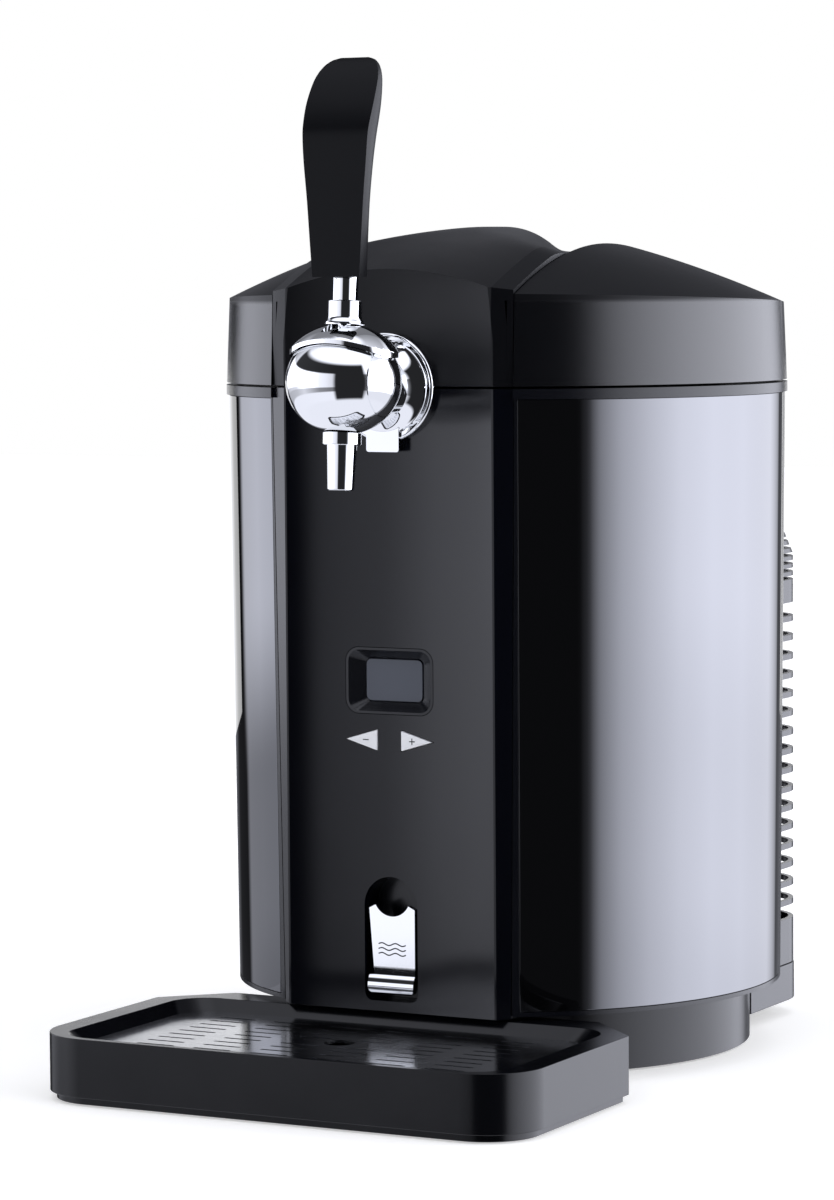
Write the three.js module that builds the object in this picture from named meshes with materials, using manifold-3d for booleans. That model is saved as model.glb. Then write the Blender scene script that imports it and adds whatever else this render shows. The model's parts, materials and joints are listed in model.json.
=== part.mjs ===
// Mini keg beer dispenser: a cooled drum for one small keg, with a hinged lid, a chrome tap,
// a drip tray, a drain slide and a thermoelectric cooler behind the keg.
// Millimetres, +Z up. While the pieces are made the drum's axis is x = 0, y = 0, the front is -Y
// and the floor is z = 0. The finished group is moved along Y so that the origin lies in the
// middle of the dispenser's footprint.
import * as THREE from 'three';
import * as BufferGeometryUtils from 'three/addons/utils/BufferGeometryUtils.js';
import Module from 'manifold-3d';

const wasm = await Module();
wasm.setup();

// Driving dimensions: the drum
const bodyTopRadius = 135.6;
const bodyDraft = 2.5;
const bodyBottomRadius = bodyTopRadius - bodyDraft;
const bodyBottomZ = 33.2;
const bodyTopZ = 319.3;
const bodyWall = 4;
const deckThickness = 4.7;
const deckProud = 1.2;
const lidSeam = 1.2;
const panelFaceSet = 11.5;
const panelFaceDistance = bodyTopRadius - panelFaceSet;
const panelBevel = 8.2;
const panelDraft = 3.4;
const panelTopHalf = 63.2;
const panelFlatHalf = panelTopHalf - panelBevel;
const panelBottomHalf = panelTopHalf - panelDraft;
const panelWall = 3;
const panelBottomZ = 32.2;

// Driving dimensions: the lid
const lidProud = 1;
const lidSkirtDraft = 1.6;
const lidBottomRadius = bodyTopRadius + lidProud;
const lidEdgeRadius = lidBottomRadius - lidSkirtDraft;
const lidEdgeZ = 364.4;
const lidRise = 36.4;
const lidApexForward = 23.2;
const domeInset = 1;
const domeRadius = lidEdgeRadius - domeInset;
const domeFullness = 1.7;
const lidFallShare = 0.03;
const lidWall = 3.5;

// Driving dimensions: the strip along the lid's middle, a low band that rises to a hood in front
const bandRise = 23;
const bandFullness = 3.2;
const hoodFrontRise = 15;
const hoodRun = 80;
const hoodClimb = 25.6;
const hoodSag = 5.1;
const hoodArch = 9.5;
const hoodEase = 9.6;
const hoodTopRise = 35.5;
const hoodEdgeFall = 10.4;
const hoodSweep = 71;
const hoodTailRun = 30;
const hoodTailFall = 9;
const hoodBevel = 2.7;
const hoodBlend = 2.5;
const bandBlend = 1.5;
const hoodEdgeShare = 1.5;
const hoodSweepShare = 1.25;

// Driving dimensions: the keg chamber
const insulation = 46.6;
const chamberRadius = bodyTopRadius - insulation;
const chamberFloorZ = 50;
const linerWall = 1.5;

// Driving dimensions: the tap
const tapReach = 41.9;
const tapDistance = panelFaceDistance + tapReach;
const tapLeanDegrees = 3.8;
const ballRadius = 24.1;
const ballHalf = 27.3;
const ballDrop = 1.7;
const ballZ = 329.8;
const flangeRadius = 25.5;
const shankRadius = 8;

// Driving dimensions: the drip tray
const trayHalf = 125;
const trayReach = 121;
const trayFront = panelFaceDistance + trayReach;
const trayBow = 2;
const trayTopZ = 31.1;
const trayWall = 3;
const trayCornerRadius = 28;
const trayBackHalf = 97;

// Driving dimensions: the rear housing and the foot
const housingInset = 36.6;
const housingProud = 11.3;
const housingHalf = bodyTopRadius - housingInset;
const housingBack = bodyTopRadius + housingProud;
const housingCorner = 28;
const housingWall = 2.5;
const housingBottomZ = 27.3;
const housingShoulderZ = 235;
const housingTopZ = 271;
const footInset = 19.7;
const footRadius = bodyBottomRadius - footInset;
const footCentreY = 11.9;

// Clearances and overruns shared by all pieces
const seatGap = 0.3;
const coverGap = 0.5;
const slideGap = 0.4;
const overrun = 1;
const weldDistance = 0.0001;

// Facets of the round shapes
const drumSteps = 48;
const roundSteps = 28;
const smallSteps = 16;
const cornerSteps = 4;
const half = 0.5;
const quarterTurn = Math.PI / 2;
const fullTurn = Math.PI * 2;

// Derived levels
const deckTopZ = bodyTopZ + deckThickness;
const lidBottomZ = deckTopZ + lidSeam;
const seamZ = deckTopZ + lidSeam * half;

// Finishes
const finish = (color, roughness, metalness) =>
  new THREE.MeshStandardMaterial({ color, roughness, metalness });
const satinBlack = finish(0x15161a, 0.42, 0);
const grainBlack = finish(0x17181a, 0.62, 0);
const glossBlack = finish(0x050507, 0.04, 0.6);
const softBlack = finish(0x1b1b1c, 0.8, 0);
const chrome = finish(0xe9ebee, 0.05, 1);
const polishedSteel = finish(0xc9ccd0, 0.18, 1);
const aluminium = finish(0xb8babd, 0.35, 1);
const silverPlastic = finish(0xdfe1e4, 0.3, 0.3);
const displayGlass = finish(0x2b3038, 0.06, 0);
const whiteFoam = finish(0xe6e4dc, 0.9, 0);
const boardGreen = finish(0x1d5b34, 0.55, 0);
const whiteCeramic = finish(0xdad9d2, 0.5, 0);
const brass = finish(0xb5923f, 0.3, 1);

// A closed surface as a solid that can be cut and joined, with its faces pointing out
function asSolid(geometry) {
  const bare = geometry.clone();
  bare.deleteAttribute('normal');
  bare.deleteAttribute('uv');
  const merged = BufferGeometryUtils.mergeVertices(bare, weldDistance);
  const points = merged.attributes.position.array;
  const corners = merged.index.array;
  const kept = [];
  let volume = 0;
  const at = (index) => new THREE.Vector3().fromArray(points, index * 3);
  for (let i = 0; i < corners.length; i += 3) {
    const [a, b, c] = [corners[i], corners[i + 1], corners[i + 2]];
    if (a === b || b === c || c === a) continue;
    kept.push([a, b, c]);
    volume += at(a).dot(at(b).cross(at(c)));
  }
  const facing = kept.map(([a, b, c]) => (volume < 0 ? [a, c, b] : [a, b, c])).flat();
  return new wasm.Manifold(new wasm.Mesh({
    numProp: 3,
    vertProperties: new Float32Array(points),
    triVerts: new Uint32Array(facing),
  }));
}

function asGeometry(solid) {
  const mesh = solid.getMesh();
  const geometry = new THREE.BufferGeometry();
  geometry.setAttribute('position', new THREE.BufferAttribute(mesh.vertProperties, 3));
  geometry.setIndex(new THREE.BufferAttribute(mesh.triVerts, 1));
  geometry.computeVertexNormals();
  return geometry;
}

const cut = (geometry, ...tools) =>
  asGeometry(tools.reduce((solid, tool) => solid.subtract(asSolid(tool)), asSolid(geometry)));
const join = (geometry, ...others) =>
  asGeometry(others.reduce((solid, other) => solid.add(asSolid(other)), asSolid(geometry)));
const common = (geometry, ...others) =>
  asGeometry(others.reduce((solid, other) => solid.intersect(asSolid(other)), asSolid(geometry)));

const moved = (geometry, x, y, z) => geometry.clone().translate(x, y, z);
const mirroredX = (geometry) => geometry.clone().scale(-1, 1, 1);

// A box between two corners
function block(x0, x1, y0, y1, z0, z1) {
  return new THREE.BoxGeometry(x1 - x0, y1 - y0, z1 - z0)
    .translate((x0 + x1) * half, (y0 + y1) * half, (z0 + z1) * half);
}

// Points of an arc, both ends included
function arc(cx, cy, radius, start, end, steps) {
  const points = [];
  for (let i = 0; i <= steps; i += 1) {
    const angle = start + ((end - start) * i) / steps;
    points.push([cx + radius * Math.cos(angle), cy + radius * Math.sin(angle)]);
  }
  return points;
}

// An outline from corners given as [x, y, radius]
function roundedOutline(corners, steps = cornerSteps) {
  const points = [];
  corners.forEach(([x, y, radius], i) => {
    if (!radius) {
      points.push([x, y]);
      return;
    }
    const here = new THREE.Vector2(x, y);
    const [px, py] = corners[(i + corners.length - 1) % corners.length];
    const [nx, ny] = corners[(i + 1) % corners.length];
    const back = new THREE.Vector2(px, py).sub(here).normalize();
    const ahead = new THREE.Vector2(nx, ny).sub(here).normalize();
    const halfAngle = Math.acos(back.dot(ahead)) * half;
    const reach = radius / Math.tan(halfAngle);
    const centre = back.clone().add(ahead).normalize()
      .multiplyScalar(radius / Math.sin(halfAngle)).add(here);
    const from = back.clone().multiplyScalar(reach).add(here).sub(centre);
    const to = ahead.clone().multiplyScalar(reach).add(here).sub(centre);
    let sweep = to.angle() - from.angle();
    if (sweep > Math.PI) sweep -= fullTurn;
    if (sweep < -Math.PI) sweep += fullTurn;
    points.push(...arc(centre.x, centre.y, radius, from.angle(), from.angle() + sweep, steps));
  });
  return points;
}

const roundedRectangle = (halfWidth, low, high, radius, steps = cornerSteps) => roundedOutline([
  [-halfWidth, low, radius], [halfWidth, low, radius],
  [halfWidth, high, radius], [-halfWidth, high, radius]], steps);

// A prism of a plan outline between two heights
function upright(points, z0, z1) {
  const shape = new THREE.Shape(points.map(([x, y]) => new THREE.Vector2(x, y)));
  return new THREE.ExtrudeGeometry(shape, { depth: z1 - z0, bevelEnabled: false })
    .translate(0, 0, z0);
}

// A prism of an outline drawn in x and z, from y0 in front to y1 behind
function frontPrism(points, y0, y1) {
  const shape = new THREE.Shape(points.map(([x, z]) => new THREE.Vector2(x, z)));
  return new THREE.ExtrudeGeometry(shape, { depth: y1 - y0, bevelEnabled: false })
    .rotateX(quarterTurn).translate(0, y1, 0);
}

// A solid through a stack of rings with the same number of points, closed at both ends
function loft(rings) {
  const count = rings[0].length;
  const positions = rings.flat(2);
  const corners = [];
  for (let ring = 0; ring + 1 < rings.length; ring += 1) {
    for (let i = 0; i < count; i += 1) {
      const next = (i + 1) % count;
      const [a, b] = [ring * count + i, ring * count + next];
      corners.push(a, b, b + count, a, b + count, a + count);
    }
  }
  const flat = rings[0].map(([x, y]) => new THREE.Vector2(x, y));
  const flatTop = rings.at(-1).map(([x, y]) => new THREE.Vector2(x, y));
  const topStart = (rings.length - 1) * count;
  THREE.ShapeUtils.triangulateShape(flat, []).forEach(([a, b, c]) => corners.push(a, c, b));
  THREE.ShapeUtils.triangulateShape(flatTop, [])
    .forEach(([a, b, c]) => corners.push(a + topStart, b + topStart, c + topStart));
  const geometry = new THREE.BufferGeometry();
  geometry.setAttribute('position', new THREE.Float32BufferAttribute(positions, 3));
  geometry.setIndex(corners);
  return geometry;
}

const ringAt = (points, z) => points.map(([x, y]) => [x, y, z]);

// A turned solid about the Z axis; the profile is [radius, z] and ends on the axis or closes
function turned(profile, steps = roundSteps) {
  return new THREE.LatheGeometry(profile.map(([r, z]) => new THREE.Vector2(r, z)), steps)
    .rotateX(quarterTurn);
}

// A turned solid about the Y axis; the profile is [radius, y]
function turnedAlongY(profile, steps = roundSteps) {
  return new THREE.LatheGeometry(profile.map(([r, y]) => new THREE.Vector2(r, y)), steps);
}

const drum = (radius, z0, z1, steps = roundSteps) =>
  turned([[0, z0], [radius, z0], [radius, z1], [0, z1]], steps);
const drumRing = (inner, outer, z0, z1, steps = roundSteps) =>
  turned([[inner, z0], [outer, z0], [outer, z1], [inner, z1], [inner, z0]], steps);
const rodAlongY = (radius, y0, y1, steps = smallSteps) =>
  turnedAlongY([[0, y0], [radius, y0], [radius, y1], [0, y1]], steps);
const rodAlongX = (radius, x0, x1, steps = smallSteps) =>
  turned([[0, x0], [radius, x0], [radius, x1], [0, x1]], steps).rotateY(quarterTurn);

// A solid between two heights given as functions of x and y, over a grid
function between(xs, ys, low, high) {
  const positions = [];
  const corners = [];
  const rows = ys.length;
  const layer = xs.length * rows;
  [low, high].forEach((height) => xs.forEach((x) => ys.forEach((y) => {
    positions.push(x, y, height(x, y));
  })));
  const at = (i, j, top) => i * rows + j + (top ? layer : 0);
  const quad = (a, b, c, d) => corners.push(a, b, c, a, c, d);
  for (let i = 0; i + 1 < xs.length; i += 1) {
    for (let j = 0; j + 1 < rows; j += 1) {
      quad(at(i, j, true), at(i + 1, j, true), at(i + 1, j + 1, true), at(i, j + 1, true));
      quad(at(i, j), at(i, j + 1), at(i + 1, j + 1), at(i + 1, j));
    }
    quad(at(i, 0), at(i + 1, 0), at(i + 1, 0, true), at(i, 0, true));
    quad(at(i + 1, rows - 1), at(i, rows - 1), at(i, rows - 1, true), at(i + 1, rows - 1, true));
  }
  for (let j = 0; j + 1 < rows; j += 1) {
    quad(at(0, j + 1), at(0, j), at(0, j, true), at(0, j + 1, true));
    quad(at(xs.length - 1, j), at(xs.length - 1, j + 1),
      at(xs.length - 1, j + 1, true), at(xs.length - 1, j, true));
  }
  const geometry = new THREE.BufferGeometry();
  geometry.setAttribute('position', new THREE.Float32BufferAttribute(positions, 3));
  geometry.setIndex(corners);
  return geometry;
}

const spread = (from, to, count) =>
  Array.from({ length: count + 1 }, (_, i) => from + ((to - from) * i) / count);

const dispenser = new THREE.Group();

function piece(name, geometry, material, parent = dispenser) {
  const mesh = new THREE.Mesh(geometry, material);
  mesh.name = name;
  parent.add(mesh);
  return mesh;
}

// The drum's outer surface
const bodyTaper = (bodyTopRadius - bodyBottomRadius) / (bodyTopZ - bodyBottomZ);
const bodyRadiusAt = (z) => bodyBottomRadius + bodyTaper * (z - bodyBottomZ);
const panelTaper = (panelTopHalf - panelBottomHalf) / (bodyTopZ - bodyBottomZ);
const panelHalfAt = (z) => panelBottomHalf + panelTaper * (z - bodyBottomZ);
const chord = (radius, x) => Math.sqrt(radius * radius - x * x);
const bodyFrustum = (inset, z0, z1) => turned([[0, z0], [bodyRadiusAt(z0) - inset, z0],
  [bodyRadiusAt(z1) - inset, z1], [0, z1]], drumSteps);

// The lid's dome, whose apex lies before the axis: the share says how far out a point lies
function domeShare(x, y) {
  const forward = y + lidApexForward;
  const span = domeRadius * domeRadius - lidApexForward * lidApexForward;
  const along = -lidApexForward * forward;
  return (Math.sqrt(along * along + (x * x + forward * forward) * span) + along) / span;
}
const rimZ = (y) => lidEdgeZ - lidFallShare * y;
const domeZ = (x, y, offset) => rimZ(y) + offset + lidRise * (1 - domeShare(x, y) ** domeFullness);

// The strip along the lid's middle: a low band, and a hood over its front part
const bandZ = (x, y) => rimZ(y) + bandRise * (1 - (Math.hypot(x, y) / domeRadius) ** bandFullness);
const lower = (a, b, blend) => (a + b - Math.hypot(a - b, blend)) * half;
const higher = (a, b, blend) => (a + b + Math.hypot(a - b, blend)) * half;
function hoodZ(x, y) {
  const reach = Math.min(Math.abs(x) / panelFlatHalf, 1);
  const way = (y - faceY) / hoodRun;
  const front = hoodFrontRise + hoodClimb * way - hoodSag * way * way
    - (hoodArch - hoodEase * way) * reach * reach;
  const tail = Math.max(y + hoodSweep * reach ** hoodSweepShare, 0) / hoodTailRun;
  const back = hoodTopRise - hoodEdgeFall * reach ** hoodEdgeShare - hoodTailFall * tail * tail;
  return lidEdgeZ + lower(front, back, hoodBlend);
}
function stripZ(x, y) {
  const bevel = Math.max(Math.abs(x) - panelFlatHalf, 0) / (panelTopHalf - panelFlatHalf);
  return higher(bandZ(x, y), hoodZ(x, y), bandBlend) - hoodBevel * bevel;
}

// Base: a round foot under the drum on four rubber pads, open at the top
const footFloor = 3;
const footWall = 3;
const padRadius = 9;
const padHeight = 2.3;
const padProud = 1;
const padRingInset = 18.4;
const padRingRadius = footRadius - padRingInset;
const padAnglesShares = [0.125, 0.375, 0.625, 0.875];
const padPlaces = padAnglesShares.map((share) => [
  padRingRadius * Math.cos(share * fullTurn),
  footCentreY + padRingRadius * Math.sin(share * fullTurn)]);

function makeFoot() {
  const outside = drum(footRadius, padProud, bodyBottomZ, drumSteps);
  const inside = drum(footRadius - footWall, padProud + footFloor, bodyBottomZ + overrun, drumSteps);
  const pockets = padPlaces.map(([x, y]) => moved(
    drum(padRadius + seatGap, 0, padHeight, smallSteps), x, y, 0));
  return cut(moved(cut(outside, inside), 0, footCentreY, 0), ...pockets);
}
piece('base_foot', makeFoot(), satinBlack);
['right_rear', 'left_rear', 'left_front', 'right_front'].forEach((place, i) => {
  const pad = piece(`rubber_pad_${place}`, drum(padRadius, 0, padHeight, smallSteps), softBlack);
  pad.position.set(padPlaces[i][0], padPlaces[i][1], 0);
});

// Base plate closing the drum
const basePlateThickness = 3;
const panelFlangeDepth = 16;
const panelFlangeBack = panelFaceDistance - panelFlangeDepth;
const basePlateTopZ = bodyBottomZ + basePlateThickness;

function makeBasePlate() {
  const disc = drum(bodyBottomRadius - bodyWall - seatGap, bodyBottomZ, basePlateTopZ, drumSteps);
  const frontReach = bodyTopRadius + overrun;
  const front = block(-frontReach, frontReach, -frontReach, -panelFlangeBack + slideGap,
    bodyBottomZ - overrun, basePlateTopZ + overrun);
  return cut(disc, front);
}
piece('base_plate', makeBasePlate(), satinBlack);

// Drum shell: open at the front for the panel, with shallow side recesses and a rear window
const sheetThickness = 1.2;
const sheetGap = 0.3;
const sheetPanelGap = 1.93;
const sheetFrontDegrees = THREE.MathUtils.radToDeg(
  Math.asin(panelTopHalf / bodyTopRadius) + sheetPanelGap / bodyTopRadius);
const sheetRearDegrees = 106;
const sheetBottomZ = 35.6;
const windowHalf = 66;
const windowBottomZ = 74;
const windowTopZ = 216;
const panelGap = 0.5;
const sheetSteps = 12;

// A curved band on the drum's side, between two angles from the front
function sideBand(startDegrees, endDegrees, inset, thickness, z0, z1) {
  const start = THREE.MathUtils.degToRad(startDegrees) - quarterTurn;
  const end = THREE.MathUtils.degToRad(endDegrees) - quarterTurn;
  const ring = (z) => {
    const outer = bodyRadiusAt(z) - inset;
    return ringAt([...arc(0, 0, outer, start, end, sheetSteps),
      ...arc(0, 0, outer - thickness, end, start, sheetSteps)], z);
  };
  return loft([ring(z0), ring(z1)]);
}

function panelCutter(clearance, depth, z0, z1) {
  const ring = (z) => {
    const reach = panelHalfAt(z) + clearance;
    return ringAt([[-reach, -bodyTopRadius - overrun], [reach, -bodyTopRadius - overrun],
      [reach, -depth], [-reach, -depth]], z);
  };
  return loft([ring(z0), ring(z1)]);
}

const sheetGapDegrees = THREE.MathUtils.radToDeg(sheetGap / bodyTopRadius);

function makeShell() {
  const low = bodyBottomZ - overrun;
  const high = bodyTopZ + overrun;
  const tube = cut(bodyFrustum(0, bodyBottomZ, bodyTopZ), bodyFrustum(bodyWall, low, high));
  const opening = panelCutter(panelGap, panelFlangeBack - slideGap, low, high);
  const recess = sideBand(sheetFrontDegrees - sheetGapDegrees, sheetRearDegrees + sheetGapDegrees,
    -overrun, sheetThickness + sheetGap + overrun, sheetBottomZ - sheetGap, high);
  const window = block(-windowHalf, windowHalf, bodyBottomRadius * half, bodyTopRadius + overrun,
    windowBottomZ, windowTopZ);
  return cut(tube, opening, recess, mirroredX(recess), window);
}
piece('body_shell', makeShell(), satinBlack);

const sideSheet = sideBand(sheetFrontDegrees, sheetRearDegrees, 0, sheetThickness,
  sheetBottomZ, bodyTopZ - sheetGap);
piece('side_panel_right', cut(sideSheet), glossBlack);
piece('side_panel_left', cut(mirroredX(sideSheet)), glossBlack);

// Deck: the ring that closes the drum's top round the keg chamber
const linerLipReach = 6;
const linerLipThickness = 2.3;
const linerOuter = chamberRadius + linerWall;
const linerLipOuter = linerOuter + linerLipReach;
const panelFlangeWall = 2.5;
const shankPassRadius = 10.5;
const flangeSeatRadius = 15;
const shankPassDepth = 9;
const shankPassInner = chamberRadius - shankPassDepth;

const shankPass = moved(rodAlongY(shankPassRadius, -bodyTopRadius, -shankPassInner), 0, 0, seamZ);
const shankNotch = moved(
  rodAlongY(flangeSeatRadius, -bodyTopRadius, -panelFlangeBack, roundSteps), 0, 0, seamZ);

function makeDeck() {
  const edge = bodyTopRadius + deckProud;
  const ring = drumRing(linerOuter + seatGap, edge, bodyTopZ, deckTopZ, drumSteps);
  const ledge = drum(linerLipOuter + seatGap, deckTopZ - linerLipThickness, deckTopZ + overrun,
    drumSteps);
  const low = bodyTopZ - overrun;
  const high = deckTopZ + overrun;
  const reach = panelTopHalf + panelGap;
  const bendX = panelFlatHalf - panelFlangeWall;
  const bendY = -chord(bodyTopRadius, panelTopHalf) + panelWall + seatGap;
  const innerX = panelTopHalf - panelFlangeWall;
  const front = upright([[-reach, -edge - overrun], [reach, -edge - overrun], [reach, bendY],
    [innerX, bendY], [bendX, -panelFaceDistance + panelWall + seatGap],
    [-bendX, -panelFaceDistance + panelWall + seatGap], [-innerX, bendY], [-reach, bendY]],
  low, high);
  const slot = block(panelTopHalf - panelFlangeWall - slideGap * 2, reach, -edge,
    -panelFlangeBack + slideGap, low, high);
  return cut(ring, ledge, front, slot, mirroredX(slot), shankPass, shankNotch);
}
piece('deck_ring', makeDeck(), satinBlack);

// Front panel: a flat face with bevelled sides and flanges, tapered like the drum
const displayHalfWidth = 23.2;
const displayBottomZ = 172;
const displayTopZ = 203.5;
const displayCorner = 7;
const buttonLength = 16;
const buttonHeight = 9.5;
const buttonZ = 160;
const buttonInnerX = 6.4;
const buttonGap = 0.35;
const drainHalf = 14;
const drainBottomZ = 37;
const drainTopZ = 95.8;
const drainCorner = 4;
const faceY = -panelFaceDistance;
const panelBackY = faceY + panelWall;

// A triangular key pointing left, grown by a margin on every side
function keyOutline(margin) {
  const slope = Math.hypot(buttonLength, buttonHeight * half);
  const tip = margin * (slope / (buttonHeight * half));
  const grow = margin * ((slope + buttonHeight * half) / buttonLength);
  return [[-buttonInnerX - buttonLength - tip, buttonZ],
    [-buttonInnerX + margin, buttonZ - buttonHeight * half - grow],
    [-buttonInnerX + margin, buttonZ + buttonHeight * half + grow]];
}

// The drain opening: straight sides, an arched top and small lower corners
function drainOutline(inset) {
  const reach = drainHalf - inset;
  const archZ = drainTopZ - drainHalf;
  return [...roundedOutline([[-reach, drainBottomZ + inset, drainCorner],
    [reach, drainBottomZ + inset, drainCorner], [reach, archZ, 0], [-reach, archZ, 0]])
    .slice(0, -2), ...arc(0, archZ, reach, 0, Math.PI, cornerSteps * 2)];
}

function panelRing(z) {
  const reach = panelHalfAt(z);
  const radius = bodyRadiusAt(z);
  const edgeY = -chord(radius, reach);
  const inner = reach - panelFlangeWall;
  return ringAt([[-panelFlatHalf, faceY], [panelFlatHalf, faceY], [reach, edgeY],
    [reach, -panelFlangeBack], [inner, -panelFlangeBack], [inner, edgeY + panelWall],
    [panelFlatHalf - panelFlangeWall, panelBackY], [panelFlangeWall - panelFlatHalf, panelBackY],
    [-inner, edgeY + panelWall], [-inner, -panelFlangeBack], [-reach, -panelFlangeBack],
    [-reach, edgeY]], z);
}

function makeFrontPanel() {
  const plate = loft([panelRing(panelBottomZ), panelRing(deckTopZ)]);
  const front = faceY - overrun;
  const back = panelBackY + overrun;
  const display = frontPrism(
    roundedRectangle(displayHalfWidth, displayBottomZ, displayTopZ, displayCorner), front, back);
  const key = frontPrism(keyOutline(buttonGap), front, back);
  const drain = frontPrism(drainOutline(0), front, back);
  return cut(plate, display, key, mirroredX(key), drain, shankNotch);
}
piece('front_panel', makeFrontPanel(), satinBlack);

// Display: a sunken frame, a dark window behind it and the control board
const displayDepth = 5.5;
const displayFrameDepth = 7.5;
const displayRim = 1.2;
const glassHalfWidth = 14.75;
const glassBottomZ = 178;
const glassTopZ = 197.5;
const glassCorner = 2.5;
const glassFlangeReach = 2.6;
const glassFlangeThickness = 1.2;
const boardDepth = 19.6;
const boardY = faceY + boardDepth;
const boardThickness = 1.6;
const boardHalf = 30;
const boardBottomZ = 148;
const boardTopZ = 206;
const postRadius = 2.2;

function makeDisplayFrame() {
  const outline = (margin) => roundedRectangle(displayHalfWidth - margin,
    displayBottomZ + margin, displayTopZ - margin, displayCorner - margin);
  const windowOutline = (margin) => roundedRectangle(glassHalfWidth + margin,
    glassBottomZ - margin, glassTopZ + margin, glassCorner + margin);
  const sleeve = frontPrism(outline(seatGap), faceY, faceY + displayFrameDepth);
  const place = (points, y) => points.map(([x, z]) => [x, y, z]);
  const slope = loftAlongY([place(outline(displayRim), faceY - seatGap),
    place(windowOutline(seatGap), faceY + displayDepth)]);
  const hole = frontPrism(windowOutline(seatGap), faceY + displayDepth - seatGap,
    faceY + displayFrameDepth + overrun);
  const rear = faceY + displayFrameDepth;
  const posts = [-1, 1].map((side) => moved(
    rodAlongY(postRadius, rear, boardY - boardThickness),
    side * (displayHalfWidth - postRadius - seatGap), 0, (displayBottomZ + displayTopZ) * half));
  return join(cut(sleeve, slope, hole), ...posts);
}

// A loft whose rings stand in x and z and follow one another along y
function loftAlongY(rings) {
  const swapped = rings.map((ring) => ring.map(([x, y, z]) => [x, z, -y]));
  return loft(swapped).rotateX(quarterTurn);
}
piece('display_frame', makeDisplayFrame(), satinBlack);

function makeGlass() {
  const frontY = faceY + displayDepth - seatGap;
  const flangeY = faceY + displayFrameDepth;
  const pane = frontPrism(roundedRectangle(glassHalfWidth, glassBottomZ, glassTopZ, glassCorner),
    frontY, flangeY + glassFlangeThickness);
  const flange = frontPrism(roundedRectangle(glassHalfWidth + glassFlangeReach,
    glassBottomZ - glassFlangeReach, glassTopZ + glassFlangeReach, glassCorner),
  flangeY, flangeY + glassFlangeThickness);
  return join(pane, flange);
}
piece('display_window', makeGlass(), displayGlass);

// Control board: carries the two key switches and the display block
const switchRadius = 3;
const keyTravel = 1.2;
const keyProud = 0.8;
const keyFlangeReach = 1.2;
const keyFlangeThickness = 1.5;
const keyStemRadius = 2;
const keyStemGap = 4.5;
const keyStemEnd = boardY - keyStemGap;
const keyCentreShare = 0.66;
const keyStemX = buttonInnerX + buttonLength * (1 - keyCentreShare);

function makeBoard() {
  const plate = block(-boardHalf, boardHalf, boardY - boardThickness, boardY,
    boardBottomZ, boardTopZ);
  const switches = [-1, 1].map((side) => moved(rodAlongY(switchRadius,
    keyStemEnd + keyTravel + seatGap, boardY - boardThickness * half),
  side * keyStemX, 0, buttonZ));
  const glassBack = faceY + displayFrameDepth + glassFlangeThickness;
  const module = block(-glassHalfWidth, glassHalfWidth, glassBack + seatGap,
    boardY - boardThickness * half, glassBottomZ, glassTopZ);
  return join(plate, ...switches, module);
}
piece('control_board', makeBoard(), boardGreen);

function makeKey() {
  const cap = frontPrism(keyOutline(0), faceY - keyProud, panelBackY + seatGap + keyFlangeThickness);
  const flange = frontPrism(keyOutline(keyFlangeReach), panelBackY + seatGap,
    panelBackY + seatGap + keyFlangeThickness);
  const stem = moved(rodAlongY(keyStemRadius, panelBackY, keyStemEnd), -keyStemX, 0, buttonZ);
  return join(cap, flange, stem);
}
piece('minus_button', makeKey(), silverPlastic);
piece('plus_button', cut(mirroredX(makeKey())), silverPlastic);

// Drain: a pocket behind the panel, a spout from the chamber and a chrome slide in front of it
const pocketWall = 2;
const pocketDepth = 16.1;
const pocketBackY = faceY + pocketDepth;
const tabHalf = 12;
const tabBottomZ = 40.2;
const tabHornZ = 82.3;
const tabNotchZ = 77;
const tabThickness = 3;
const tabSink = 1;
const tabLipHeight = 9;
const tabLipProud = 2.2;
const tabRibHalf = 5;
const tabRibBottomZ = 64;
const tabRibTopZ = 74;
const tabHornShare = 0.72;
const spoutZ = 55;
const spoutRadius = 4.6;
const spoutBore = 3.2;
const spoutReach = 2.5;
const tabFrontY = faceY + tabSink;
const tabBackY = tabFrontY + tabThickness;

function makePocket() {
  const outside = frontPrism(drainOutline(-pocketWall), panelBackY, pocketBackY);
  const inside = frontPrism(drainOutline(0), panelBackY - overrun, pocketBackY - pocketWall);
  const hole = moved(rodAlongY(spoutRadius + seatGap, panelBackY, pocketBackY + overrun),
    0, 0, spoutZ);
  return cut(outside, inside, hole);
}
piece('drain_pocket', makePocket(), satinBlack);

function makeTab() {
  const hornX = tabHalf * tabHornShare;
  const notchRise = tabHornZ - tabNotchZ;
  const notchRadius = (hornX * hornX + notchRise * notchRise) / (notchRise * 2);
  const sweep = Math.asin(hornX / notchRadius);
  const notch = arc(0, tabNotchZ + notchRadius, notchRadius, -quarterTurn + sweep,
    -quarterTurn - sweep, cornerSteps * 2);
  const corner = tabHalf - hornX;
  const outline = [...roundedOutline([[-tabHalf, tabBottomZ, corner], [tabHalf, tabBottomZ, corner],
    [tabHalf, tabHornZ, 0]]).slice(0, -1), [tabHalf, tabHornZ - corner * half], ...notch,
  [-tabHalf, tabHornZ - corner * half]];
  const plate = frontPrism(outline, tabFrontY, tabBackY);
  const lip = frontPrism(roundedRectangle(tabHalf, tabBottomZ, tabBottomZ + tabLipHeight, corner),
    tabFrontY - tabLipProud, tabBackY);
  const rib = block(-tabRibHalf, tabRibHalf, tabBackY - overrun,
    pocketBackY - pocketWall - seatGap, tabRibBottomZ, tabRibTopZ);
  return join(plate, lip, rib);
}
piece('drain_slide', makeTab(), chrome);

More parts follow.
